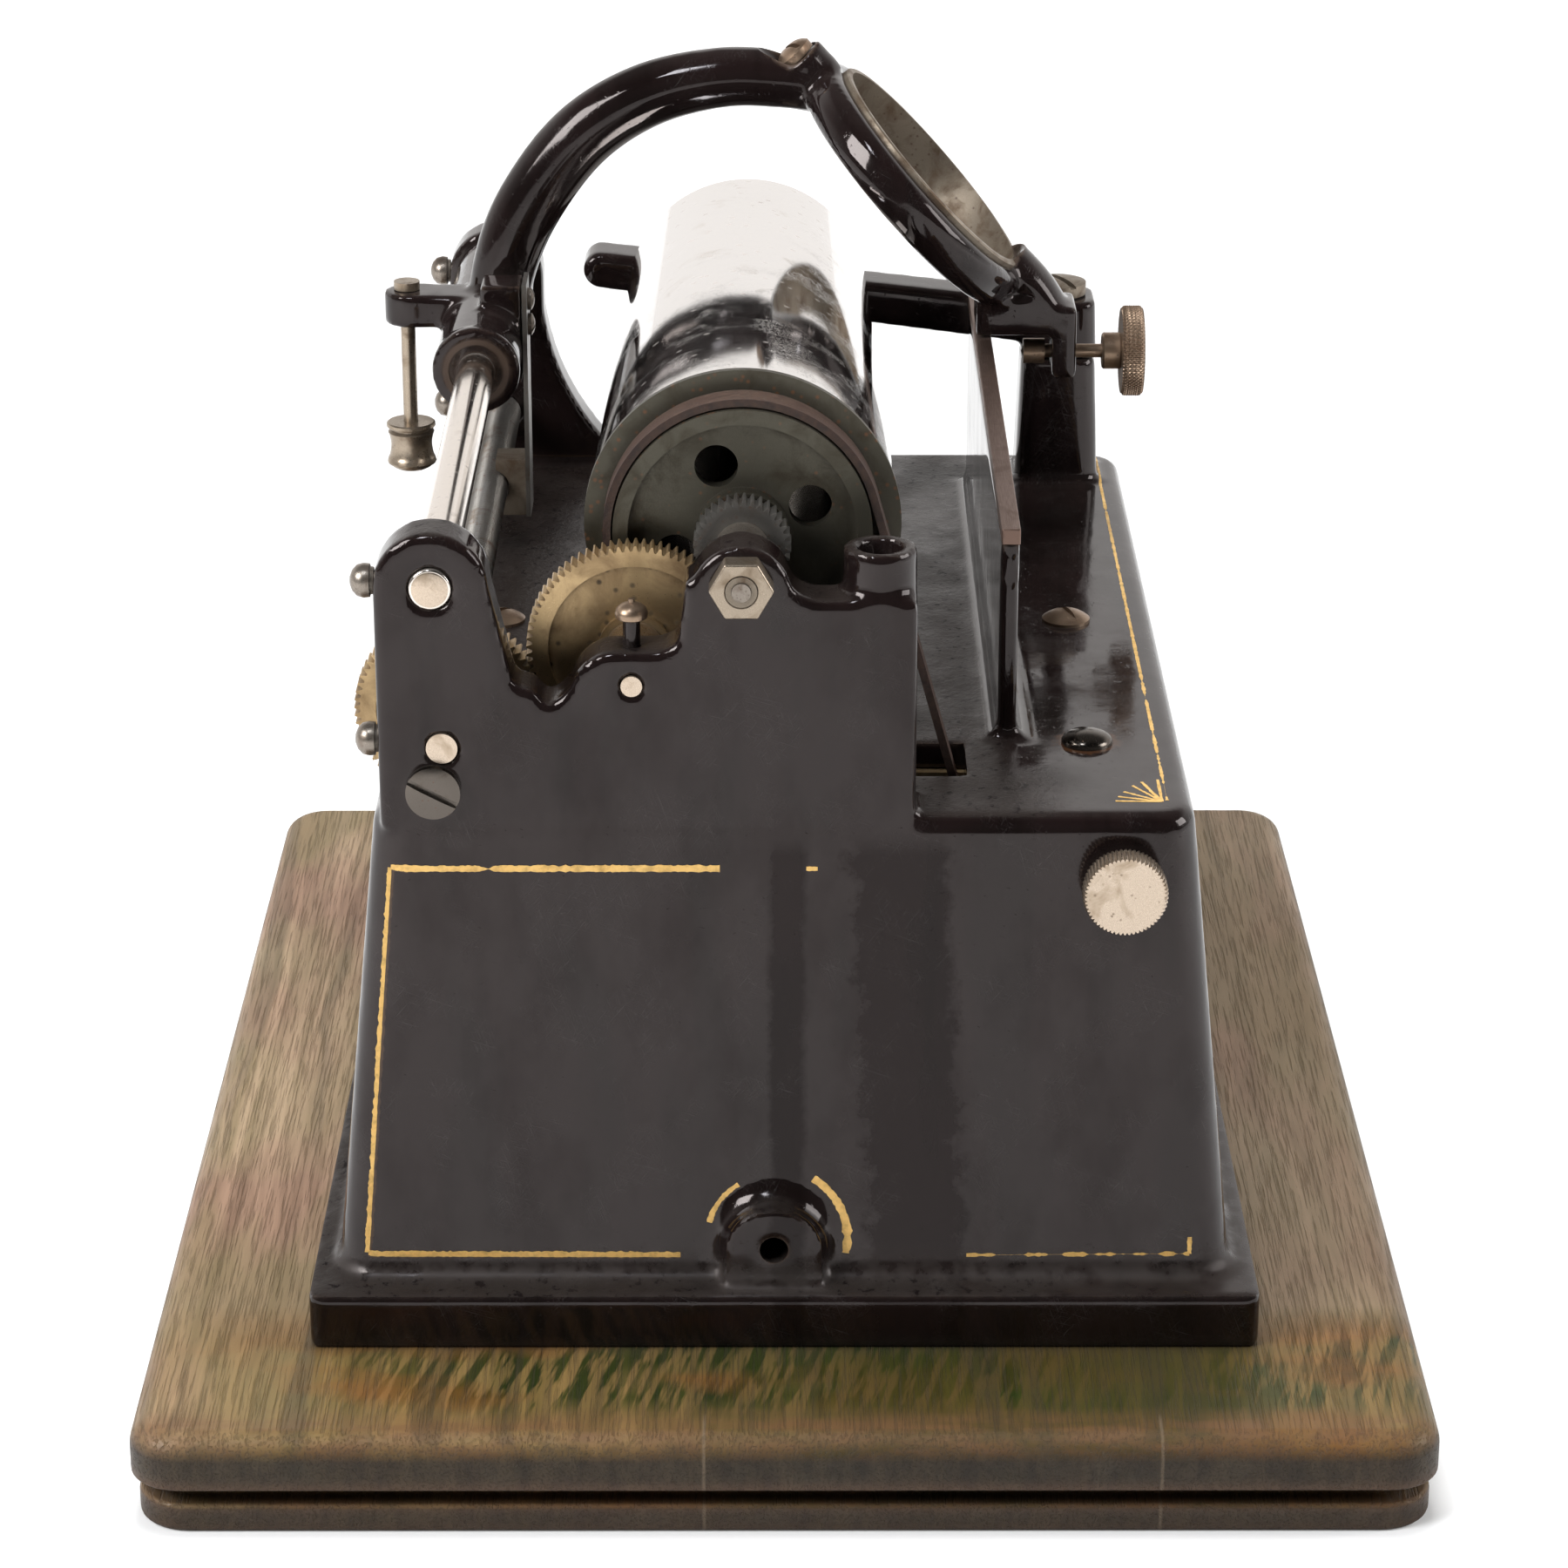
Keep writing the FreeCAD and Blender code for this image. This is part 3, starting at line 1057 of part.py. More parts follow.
def carriage():
    length = S.sleeve_length
    over = S.cut_over
    sleeve = cylinder("sleeve", S.sleeve_radius, length, on(ROD, SLEEVE_START))
    collar = cylinder("sleeve_collar", S.collar_radius, S.collar_length, on(ROD, SLEEVE_START))
    thick = S.ring_thick
    lip_outer = S.ring_bore + S.ring_lip_width
    inner = S.ring_bore - S.ring_stock
    profile = [(-thick, inner), (S.ring_lip, inner), (S.ring_lip, lip_outer), (0, lip_outer),
               (0, S.ring_outer), (-thick, S.ring_outer)]
    ring = turned("ring", profile, (RING_X, S.ring_y, S.ring_z), RING_TURN)
    boss = cylinder("ring_boss", S.ring_boss, S.ring_boss_reach + S.sink,
                    ring_point(S.ring_outer - S.sink, -thick / 2), CLAMP_TURN)
    clamp_start = S.ring_bore - over
    clamp_seat = S.ring_outer + S.ring_boss_reach
    leaf_pad = block("leaf_pad", (LEAF_X, S.rod_y - S.sleeve_radius, S.rod_z - S.leaf_pad_low),
                     (LEAF_X + S.leaf_width, S.rod_y, S.leaf_top))
    parts = [sleeve, collar, arch_arm(), ring, boss, front_lug_of_carriage(), leaf_pad]
    whole = joined("carriage_solid", parts + ear())
    bores = [
        cylinder("bush_bore", S.bush_outer + S.running, length, on(ROD, SLEEVE_START)),
        cylinder("bush_head_bore", S.bush_head + S.passing, S.bush_head_depth, on(ROD, SLEEVE_START)),
        cylinder("ring_bore", S.ring_bore, thick + 2 * S.ring_cut_over,
                 ring_point(0, -thick - S.ring_cut_over), RING_TURN),
        cylinder("clamp_bore", S.ring_screw, clamp_seat - clamp_start + over,
                 ring_point(clamp_start, -thick / 2), CLAMP_TURN),
        cylinder("clamp_seat", S.ring_screw_head + S.passing, S.clamp_seat_depth,
                 ring_point(clamp_seat, -thick / 2), CLAMP_TURN),
        cylinder("hang_bore", S.hang_rod + S.running, S.ear_top - S.ear_bottom + 2 * over,
                 (HANG_X, S.hang_y, S.ear_bottom - over), "Z"),
        cylinder("lift_bore", S.lift_shank + S.running, S.lug_leg_back - S.lug_front + 2 * over,
                 (LIFT_X, S.lug_leg_back + over, S.lift_z), "-Y"),
    ]
    for z in leaf_screw_heights():
        bores.append(cylinder("leaf_screw_bore", S.leaf_screw, S.leaf_screw_length - S.leaf_thick + S.passing,
                              (leaf_middle(), S.rod_y - S.sleeve_radius, z), "Y"))
    keep("carriage_casting", cut("carriage_casting", whole, bores))
    head_length = S.bush_head_depth - 2 * S.passing
    profile = [(0, S.rod_radius + S.running), (length - S.passing, S.rod_radius + S.running),
               (length - S.passing, S.bush_outer), (head_length, S.bush_outer), (head_length, S.bush_head),
               (0, S.bush_head)]
    keep("carriage_bush", turned("carriage_bush", profile, on(ROD, SLEEVE_START + S.passing)))


def leaf_middle():
    return LEAF_X + S.leaf_width / 2


def leaf_screw_heights():
    return [S.rod_z + S.leaf_screw_low, S.leaf_top - S.leaf_screw_low]


def half_nut():
    """A leaf screwed to the sleeve's pad holds the half nut at the front of the feed screw."""
    back = S.rod_y - S.sleeve_radius
    front = back - S.leaf_thick
    blank = block("leaf_blank", (LEAF_X, front, S.leaf_bottom), (LEAF_X + S.leaf_width, back, S.leaf_top))
    holes = [cylinder("leaf_hole", S.leaf_screw, S.leaf_thick, (leaf_middle(), front, z), "Y")
             for z in leaf_screw_heights()]
    keep("half_nut_leaf", cut("half_nut_leaf", blank, holes))
    nut = block("half_nut_blank", (LEAF_X + S.nut_inset, back, S.feed_z - S.nut_half_height),
                (LEAF_X + S.leaf_width - S.nut_inset, S.feed_y - S.nut_lip, S.feed_z + S.nut_half_height))
    hollow_of_nut = cylinder("half_nut_hollow", S.feed_radius + S.passing, S.leaf_width, on(FEED, LEAF_X))
    keep("half_nut", cut("half_nut", nut, [hollow_of_nut]))
    screws = [screw("leaf_screw", S.leaf_head, S.leaf_head_height, S.leaf_screw, S.leaf_screw_length,
                    (leaf_middle(), front, z), "-Y", spin=30 * number)
              for number, z in enumerate(leaf_screw_heights())]
    keep("leaf_screws", group("leaf_screws", screws))


def carriage_fittings():
    """The lifting screw, the ring's clamp screw and the hanging rod with its knob."""
    shank_end = S.lift_tip_y - S.lift_collar_start
    collar_end = shank_end + S.lift_collar_length
    head_end = collar_end + S.lift_head_width
    profile = [(0, 0), (head_end, 0), (head_end, S.lift_head), (collar_end, S.lift_head),
               (collar_end, S.lift_collar), (shank_end, S.lift_collar), (shank_end, S.lift_shank),
               (S.lift_nut_length, S.lift_shank), (S.lift_nut_length, S.lift_nut), (0, S.lift_nut)]
    keep("lifting_screw", turned("lifting_screw", profile, (LIFT_X, S.lift_tip_y, S.lift_z), "-Y"))
    seat = S.ring_outer + S.ring_boss_reach
    keep("ring_clamp_screw", screw("ring_clamp_screw", S.ring_screw_head, S.ring_screw_dome, S.ring_screw,
                                   seat - S.ring_screw_tip, ring_point(seat, -S.ring_thick / 2), CLAMP_TURN,
                                   True, 70))
    length = S.ear_top + S.running - S.hang_bottom
    head_end, rim = length + S.hang_head, S.hang_rod + S.hang_head_rim
    profile = [(0, 0), (head_end, 0), (head_end, rim), (length, rim), (length, S.hang_rod), (0, S.hang_rod)]
    keep("hanging_rod", turned("hanging_rod", profile, (HANG_X, S.hang_y, S.hang_bottom), "Z"))
    waist, knob, tall = S.hang_knob - S.hang_waist, S.hang_knob, S.hang_knob_height
    bevel, rim = S.hang_bevel, S.hang_rim
    profile = [(0, S.hang_rod), (tall, S.hang_rod), (tall, waist), (tall - bevel, knob), (tall - rim, knob),
               (tall - rim - bevel, waist), (rim + bevel, waist), (rim, knob), (bevel, knob), (0, waist)]
    keep("hanging_knob", turned("hanging_knob", profile, (HANG_X, S.hang_y, S.hang_bottom), "Z"))


# Spring motor, hung under the deck

def plate(label, start, pivots, extras=()):
    """A motor plate with its bearing holes, the pillars' rivets and the deck screws' threads."""
    outline = rectangle(-S.plate_half, S.plate_half, S.plate_bottom, DECK_UNDER)
    blank = padded(f"{label}_blank", outline, S.plate_thick, (start, 0, 0))
    soften(blank, S.plate_corner, lambda edge: edge.BoundBox.ZLength > 0.01
           and edge.BoundBox.YMax < float(S.plate_bottom) + 0.1)
    holes = [cylinder("pivot_hole", radius, S.plate_thick, on(axis, start)) for radius, axis in pivots]
    holes += [cylinder("rivet_hole", S.pillar_rivet, S.plate_thick, (start, y, z))
              for y, z in pillar_places()]
    depth = S.deck_screw_length - S.deck_plate
    holes += [cylinder("deck_thread", S.deck_screw_radius, depth,
                       (start + S.plate_thick / 2, S.deck_screw_y * side, DECK_UNDER - depth), "Z")
              for side in (-1, 1)]
    whole = joined(f"{label}_solid", [blank, *extras]) if extras else blank
    keep(label, cut(label, whole, holes))


def pillar_places():
    low, high = S.plate_bottom + S.pillar_edge, DECK_UNDER - S.pillar_edge
    return [(-S.deck_screw_y, low), (S.deck_screw_y, low), (S.deck_screw_y - S.pillar_inset, high), (0, high)]


def motor_frame():
    turning = S.running
    shared_holes = [(S.pivot_small + turning, SECOND), (S.winding_pivot + turning, BARREL),
                    (S.governor_pivot + turning, GOVERNOR)]
    plate("motor_plate_near", PLATE_OUTER,
          [(S.train_arbor + turning, PULLEY), (S.speed_shaft + turning, SPEED)] + shared_holes)
    stud = cylinder("click_stud", S.click_pin, S.ratchet_width + S.click_stud_proud,
                    on(click_axis(), FAR_OUTER))
    plate("motor_plate_far", FAR_INNER, [(S.pivot_small + turning, PULLEY)] + shared_holes, [stud])
    thick = S.plate_thick
    span = FAR_OUTER - PLATE_OUTER
    profile = [(0, 0), (span, 0), (span, S.pillar_rivet), (span - thick, S.pillar_rivet),
               (span - thick, S.pillar_radius), (thick, S.pillar_radius), (thick, S.pillar_rivet),
               (0, S.pillar_rivet)]
    pillars = [turned("motor_pillar", profile, (PLATE_OUTER, y, z)) for y, z in pillar_places()]
    keep("motor_pillars", group("motor_pillars", pillars))
    screws = [screw("deck_screw", S.deck_head_radius, S.deck_head_height, S.deck_screw_radius,
                    S.deck_screw_length, (x, y, DECK), "Z", True, 50 * number)
              for number, (x, y) in enumerate(deck_screw_places())]
    keep("deck_screws", group("deck_screws", screws))


def stepped_arbor(label, axis, start, steps):
    """A shaft from a place along X, as (end of the step, radius) for each step."""
    profile = [(0, 0)]
    before = sized(0)
    upper = []
    for end, radius in steps:
        upper += [(before, radius), (end - start, radius)]
        before = end - start
    profile += [(before, 0)] + upper[::-1]
    return turned(label, profile, on(axis, start))


def spring_barrel():
    wheel, disc = S.motor_wheel_width, S.barrel_wall
    bore = S.winding_arbor + S.running
    length = S.barrel_end - S.barrel_start
    inner = S.barrel_radius - S.barrel_wall
    gear = toothed("barrel_gear", S.barrel_teeth, S.barrel_module, wheel, bore, on(BARREL, S.barrel_start),
                   BARREL_PHASE)
    profile = [(wheel, bore), (wheel + disc, bore), (wheel + disc, inner), (length, inner),
               (length, S.barrel_radius), (wheel, S.barrel_radius)]
    drum = turned("barrel_drum", profile, on(BARREL, S.barrel_start))
    keep("spring_barrel", joined("spring_barrel", [gear, drum]))
    cover = ring_profile(bore, inner, length - S.barrel_cover, length)
    keep("barrel_cover", turned("barrel_cover", cover, on(BARREL, S.barrel_start)))
    start = S.barrel_start + wheel + disc + S.passing
    width = S.barrel_end - S.barrel_cover - S.passing - start
    keep("mainspring", solid("mainspring", mainspring_shape(width, inner), on(BARREL, start), "X"))


def mainspring_shape(width, outer):
    """A flat strip wound from half circles, each wider than the last by half a turn's pitch."""
    halves = int(round(2 * float(S.spring_turns)))
    inner, thick = float(S.spring_inner), float(S.spring_strip)
    pitch = (float(outer) - thick - inner) / (halves / 2)
    sides = ([], [])
    for index in range(halves):
        centre = Vector(-pitch / 2 * (index % 2), 0, 0)
        turn = 1 if index % 2 else -1
        for side, extra in zip(sides, (0, thick)):
            radius = inner + index * pitch / 2 + extra
            first, last = Vector(turn * radius, 0, 0) + centre, Vector(-turn * radius, 0, 0) + centre
            top = Vector(0, turn * radius, 0) + centre
            side.append(Part.Arc(first, top, last).toShape())
    caps = [Part.makeLine(sides[0][0].firstVertex().Point, sides[1][0].firstVertex().Point),
            Part.makeLine(sides[0][-1].lastVertex().Point, sides[1][-1].lastVertex().Point)]
    wire = Part.Wire(Part.__sortEdges__(sides[0] + sides[1] + caps))
    return Part.Face(wire).extrude(Vector(0, 0, float(width)))


def winding():
    """The winding arbor with its square end, the ratchet wheel on it and the click."""
    ratchet_start = FAR_OUTER + S.ratchet_gap
    ratchet_end = ratchet_start + S.ratchet_width
    outside = leaning_far(BARREL[1]) + S.winding_in
    rod = stepped_arbor("winding_rod", BARREL, PLATE_OUTER, [
        (PLATE_INNER + S.passing, S.winding_pivot), (FAR_INNER - S.passing, S.winding_arbor),
        (ratchet_end, S.winding_pivot), (outside, S.winding_outer)])
    half = S.winding_square / 2
    square = block("winding_square", (outside, BARREL[0] - half, BARREL[1] - half),
                   (outside + S.winding_out, BARREL[0] + half, BARREL[1] + half))
    keep("winding_arbor", joined("winding_arbor", [rod, square]))
    keep("ratchet_wheel", solid("ratchet_wheel", ratchet_shape(), on(BARREL, ratchet_start), "X"))
    y, rim = BARREL[0], BARREL[1] + S.ratchet_radius
    pin_y, pin_z = click_axis()
    nose = rim + S.passing
    outline = [
        (pin_y, pin_z + S.click_eye), (y + S.click_back, rim + S.click_width - S.click_slim),
        (y - S.click_nose, nose + S.click_hook), (y + S.click_nose, nose),
        (y + S.click_under, nose + S.click_rise), (pin_y - S.click_eye, rim + S.click_heel),
        (pin_y, pin_z - S.click_eye + S.click_slim),
    ]
    lever = padded("click_lever", outline, S.ratchet_width, (ratchet_start, 0, 0))
    eye = cylinder("click_eye", S.click_eye, S.ratchet_width, on(click_axis(), ratchet_start))
    hole = cylinder("click_hole", S.click_pin + S.running, S.ratchet_width, on(click_axis(), ratchet_start))
    keep("click", cut("click", joined("click_solid", [lever, eye]), [hole]))


def click_axis():
    return (BARREL[0] + S.click_reach * cosine(S.click_angle),
            BARREL[1] + S.click_reach * sine(S.click_angle))


def ratchet_shape():
    """A wheel of saw teeth: each a steep face and a long slope."""
    count = int(round(float(S.ratchet_teeth)))
    tip, foot = float(S.ratchet_radius), float(S.ratchet_radius - S.ratchet_depth)
    points = []
    for index in range(count):
        angle = 2 * math.pi * index / count
        for radius in (foot, tip):
            points.append(Vector(radius * math.cos(angle), radius * math.sin(angle), 0))
    wheel = Part.Face(Part.makePolygon(points + points[:1])).extrude(Vector(0, 0, float(S.ratchet_width)))
    return wheel.cut(Part.makeCylinder(float(S.winding_pivot), float(S.ratchet_width)))


def motor_train():
    """The arbors between the barrel and the governor, with their pinions and wheels."""
    wheel = S.motor_wheel_width
    small, second = S.pivot_small, S.second_arbor
    pinion_start = S.barrel_start - S.pinion_margin
    shaft = stepped_arbor("second_shaft", SECOND, PLATE_OUTER, [
        (PLATE_INNER + S.passing, small), (FAR_INNER - S.passing, second), (FAR_OUTER, small)])
    pinion = toothed("second_pinion", S.barrel_pinion_teeth, S.barrel_module, wheel + 2 * S.pinion_margin, 0,
                     on(SECOND, pinion_start), 0)
    keep("second_arbor", joined("second_arbor", [shaft, pinion]))
    keep("second_wheel", toothed("second_wheel", S.second_wheel_teeth, S.second_module, wheel, second,
                                 on(SECOND, S.second_wheel_start), SECOND_PHASE))
    shaft = stepped_arbor("pulley_shaft", PULLEY, S.pulley_start - S.shaft_proud, [
        (FAR_INNER - S.passing, S.train_arbor), (FAR_OUTER, small)])
    pinion = toothed("pulley_pinion", S.second_pinion_teeth, S.second_module, wheel + 2 * S.pinion_margin, 0,
                     on(PULLEY, S.second_wheel_start - S.pinion_margin), 0)
    keep("pulley_arbor", joined("pulley_arbor", [shaft, pinion]))
    keep("governor_wheel", toothed("governor_wheel", S.governor_wheel_teeth, S.governor_module, wheel,
                                   S.train_arbor, on(PULLEY, S.governor_wheel_start), 0))
    width, web = S.pulley_width, S.wheel_rim
    inner = S.pulley_radius - S.wheel_rim
    hub = S.train_arbor + S.wheel_rim
    profile = [(0, S.train_arbor), (width, S.train_arbor), (width, S.pulley_radius), (0, S.pulley_radius),
               (0, inner), (width - web, inner), (width - web, hub), (0, hub)]
    keep("motor_pulley", turned("motor_pulley", profile, on(PULLEY, S.pulley_start)))


def governor():
    """Three weights on leaf springs between a fixed collar and a sliding disc."""
    shaft = stepped_arbor("governor_shaft", GOVERNOR, PLATE_OUTER, [
        (PLATE_INNER + S.passing, S.governor_pivot), (FAR_INNER - S.passing, S.governor_arbor),
        (FAR_OUTER, S.governor_pivot)])
    start = S.governor_wheel_start - S.pinion_margin
    pinion = toothed("governor_pinion", S.governor_pinion_teeth, S.governor_module,
                     S.motor_wheel_width + 2 * S.pinion_margin, 0, on(GOVERNOR, start), GOVERNOR_PHASE)
    collar = cylinder("governor_collar", S.governor_collar, S.collar_width, on(GOVERNOR, S.governor_start))
    keep("governor_spindle", joined("governor_spindle", [shaft, pinion, collar]))
    disc_start = S.governor_start + S.governor_length
    bore = S.governor_arbor + S.running
    width, disc = S.collar_width, S.disc_width
    profile = [(0, bore), (width + disc, bore), (width + disc, S.governor_disc), (width, S.governor_disc),
               (width, S.governor_collar), (0, S.governor_collar)]
    keep("governor_disc", turned("governor_disc", profile, on(GOVERNOR, disc_start)))
    reach, leaf = S.governor_length + width, S.governor_leaf
    orbit, foot = S.governor_orbit, S.governor_collar
    rise = S.leaf_rise
    outline = [
        (0, foot), (width, foot), (width + rise, orbit - leaf), (reach - width - rise, orbit - leaf),
        (reach - width, foot), (reach, foot), (reach, foot + leaf), (reach - width + leaf, foot + leaf),
        (reach - width - rise, orbit), (width + rise, orbit), (width - leaf, foot + leaf), (0, foot + leaf),
    ]
    leaves, weights = [], []
    count = int(float(S.governor_leaves))
    for number in range(count):
        spin = Rotation(Vector(1, 0, 0), 360 * number / count + float(S.governor_turn))
        side = spin.multVec(Vector(0, -1, 0)) * (float(S.governor_leaf_width) / 2)
        at = (S.governor_start, GOVERNOR[0] - side.y, GOVERNOR[1] - side.z)
        leaves.append(padded("governor_leaf", outline, S.governor_leaf_width, at,
                             spin.multiply(Rotation(Vector(1, 0, 0), 90))))
        out = spin.multVec(Vector(0, 0, 1)) * float(orbit)
        place = (S.governor_start + reach / 2, GOVERNOR[0] + out.y, GOVERNOR[1] + out.z)
        weights.append(cylinder("governor_weight", S.weight_radius, S.weight_height, place, spin))
    keep("governor_springs", group("governor_springs", leaves))
    keep("governor_weights", group("governor_weights", weights))


def speed_control():
    """The knob on the near wall turns a shaft whose arm lowers a brake pad towards the governor's disc."""
    outer = leaning_near(SPEED[1]) - S.knob_gap
    start = outer - S.knob_width
    disc_middle = S.governor_start + S.governor_length + S.collar_width + S.disc_width / 2
    end = disc_middle + S.brake_arm / 2
    collar_end = outer + S.knob_gap - S.passing
    rod = stepped_arbor("speed_rod", SPEED, start, [
        (outer, S.speed_shaft), (collar_end, S.speed_shaft + S.speed_collar), (end, S.speed_shaft)])
    angle = angle_of(SPEED, GOVERNOR)
    span = math.hypot(float(GOVERNOR[0] - SPEED[0]), float(GOVERNOR[1] - SPEED[1]))
    reach = span - S.governor_disc - S.passing
    turn = Rotation(Vector(1, 0, 0), angle)
    half = S.brake_arm / 2
    aside = turn.multVec(Vector(0, 0, 1)) * float(half)
    corner = (disc_middle - half, SPEED[0] - aside.y, SPEED[1] - aside.z)
    arm = box("brake_arm", (S.brake_arm, reach - S.brake_pad, S.brake_arm), corner, turn)
    keep("speed_shaft", joined("speed_shaft", [rod, arm]))
    along = turn.multVec(Vector(0, 1, 0)) * float(reach - S.brake_pad)
    keep("brake_pad", box("brake_pad", (S.brake_arm, S.brake_pad, S.brake_arm),
                          (corner[0], corner[1] + along.y, corner[2] + along.z), turn))
    knob = ring_profile(S.speed_shaft, S.knob_radius, sized(0), S.knob_width)
    keep("speed_knob", turned("speed_knob", knob, on(SPEED, start)))


def loop_outline(first, first_radius, second, second_radius):
    """A closed band round two wheels: a half and a half of each, joined by their outer tangents."""
    across, up = second[0] - first[0], second[1] - first[1]
    span = root(across * across + up * up)
    along = (across / span, up / span)
    fall = (first_radius - second_radius) / span
    spread = root(1 - fall * fall)

    def rim(axis, radius, forward, left):
        return (axis[0] + radius * (along[0] * forward - along[1] * left),
                axis[1] + radius * (along[1] * forward + along[0] * left))

    return [
        rim(first, first_radius, fall, spread), (*rim(first, first_radius, -1, 0), first_radius),
        (*rim(first, first_radius, fall, -spread), first_radius), rim(second, second_radius, fall, -spread),
        (*rim(second, second_radius, 1, 0), second_radius),
        (*rim(second, second_radius, fall, spread), second_radius),
    ]


def drive_belt():
    """The leather belt from the motor's pulley up to the drum, a hair's width clear of both."""
    middle = S.pulley_start + S.pulley_width / 2
    start = middle - S.belt_width / 2
    inner = [radius + S.belt_gap for radius in (S.drum_radius, S.pulley_radius)]
    outer = [radius + S.belt_thick for radius in inner]
    band, inside = [
        padded(name, loop_outline(MANDREL, radii[0], PULLEY, radii[1]), S.belt_width, (start, 0, 0))
        for name, radii in (("belt_band", outer), ("belt_inside", inner))]
    keep("drive_belt", cut("drive_belt", band, [inside]))


# Phases of the gears, so that each gap faces a tooth
PINION_PHASE = 0.0
IDLER_PHASE = mesh_phase(S.idler_teeth, S.pinion_teeth, PINION_PHASE, angle_of(MANDREL, IDLER))
FEED_PHASE = mesh_phase(S.feed_teeth, S.idler_teeth, IDLER_PHASE, angle_of(IDLER, FEED))
SECOND_PHASE = mesh_phase(S.second_wheel_teeth, S.second_pinion_teeth, 0, float(S.second_angle))
BARREL_PHASE = mesh_phase(S.barrel_teeth, S.barrel_pinion_teeth, 0, float(S.barrel_angle))
GOVERNOR_PHASE = mesh_phase(S.governor_pinion_teeth, S.governor_wheel_teeth, 0, float(S.governor_angle))

board()
casting()
rod_and_bearings()
feed_screw()
idler()
mandrel()
mandrel_bearing()
straight_edge()
gate()
carriage()
half_nut()
carriage_fittings()
motor_frame()
spring_barrel()
winding()
motor_train()
governor()
speed_control()
drive_belt()

doc.recompute()
faults = [item.Name for item in doc.Objects if {"Invalid", "Error"} & set(item.State)]
faults += [item.Label for item in NODES if item.Shape.isNull() or not item.Shape.isValid()]
if faults:
    raise RuntimeError(f"these objects have no sound shape: {', '.join(faults)}")
os.makedirs("parts", exist_ok=True)
for item in NODES:
    item.Shape.exportStep(os.path.join("parts", f"{item.Label}.step"))
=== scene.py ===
"""Finish of the cylinder phonograph: its lacquer, oak, nickel and brass, and its fine parts.

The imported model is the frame. Most of its pieces keep their CAD shape and get a finish here. The
castings, the board, the knobs, the screws, the feed screw's thread and the gold lines are made here.
Sizes are in millimetres in the frame's axes: +X along the mandrel from the gears, -Y to the operator.
"""
import json
import math
from functools import partial

import bmesh
import bpy
from mathutils import Matrix, Vector


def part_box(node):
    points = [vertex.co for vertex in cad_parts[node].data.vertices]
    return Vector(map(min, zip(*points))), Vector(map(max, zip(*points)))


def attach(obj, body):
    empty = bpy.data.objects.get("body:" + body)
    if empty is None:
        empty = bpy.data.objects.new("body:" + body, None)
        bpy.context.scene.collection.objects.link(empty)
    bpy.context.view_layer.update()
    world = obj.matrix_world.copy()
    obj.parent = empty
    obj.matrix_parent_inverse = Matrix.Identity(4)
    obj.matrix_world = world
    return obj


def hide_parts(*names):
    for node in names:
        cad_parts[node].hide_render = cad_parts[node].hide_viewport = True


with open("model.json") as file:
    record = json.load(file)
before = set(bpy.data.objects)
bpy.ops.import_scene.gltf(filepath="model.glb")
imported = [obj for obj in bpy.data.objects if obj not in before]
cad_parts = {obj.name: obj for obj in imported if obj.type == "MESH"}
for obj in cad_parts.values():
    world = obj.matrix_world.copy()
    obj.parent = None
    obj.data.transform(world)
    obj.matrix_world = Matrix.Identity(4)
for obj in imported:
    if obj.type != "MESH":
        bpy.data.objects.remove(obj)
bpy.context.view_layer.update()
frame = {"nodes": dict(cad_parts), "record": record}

MM = 0.001
NODES = frame["nodes"]
BODY_OF = {node: body for body, nodes in frame["record"]["behaviour"]["bodies"].items() for node in nodes}
SLOT_OF = {node: made.material_slots[0].material.name for node, made in NODES.items()}

# Camera, solved from the long edges of the board and the deck.
CAMERA_PLACE = (-725.1, 0.9, 357.5)
CAMERA_DIP = 21.6
CAMERA_YAW = -0.0757
LENS = 106.0

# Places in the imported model.
ROD = (52.1, 134.5)
FEED = (51.0, 109.5)
IDLER = (22.656, 119.33)
MANDREL = (6.3, 135.5)
LUG = (1.6, 31.5)
GATE_PIN = (85.0, -49.8)
END_WALL = -84.5
STUD_CLAMP = (-80.0, IDLER[0], 124.6)
BOARD_TOP = 16.0
DECK = 98.6
SLEEVE_START = 28.0
LIFTING_X, LIFTING_Z = 55.0, 130.3
SPEED_KNOB = (-89.92, -50.9, 88.6)
HANGING_KNOB = (55.0, 65.6, 109.0)
RING_MIDDLE = (56.0, -25.4, 162.6)
RING_TILT = math.radians(48.0)
RING_AXIS = Vector((0, -math.sin(RING_TILT), math.cos(RING_TILT)))
RING_SLOPE = Vector((0, math.cos(RING_TILT), math.sin(RING_TILT)))
CLAMP_FOOT = -4.0
DECK_SCREW = (-53.5, -47.2)
BEFORE_WALL = -110.0
OVER_DECK = 110.0

# Values that finishes and meshes share.
ALONG_X, ALONG_Y, ALONG_Z = (1, 0, 0), (0, 1, 0), (0, 0, 1)
WHITE = (1.0, 1.0, 1.0)
FLOOR_GLOW = 0.17
WELD = 0.002 * MM
MELT = 0.5
FLAT = (1.0, 1.0, 0.0)
LINE_STEP = 0.35 * MM
BRISTLE = 0.8 * MM
RAY_REACH = 60.0 * MM
CASTING_CREASE = 40.0
SCREW_CREASE = 38.0
KNURL_CREASE = 30.0
THREAD_CREASE = 50.0
TURNED_CREASE = 35.0


# Nodes of materials and shapes

class Sheet:
    """The node tree that new nodes go into."""
    tree = None


def link(value, target):
    """Fills an input with another node's output, or with a number."""
    if isinstance(value, bpy.types.NodeSocket):
        Sheet.tree.links.new(value, target)
    else:
        target.default_value = value


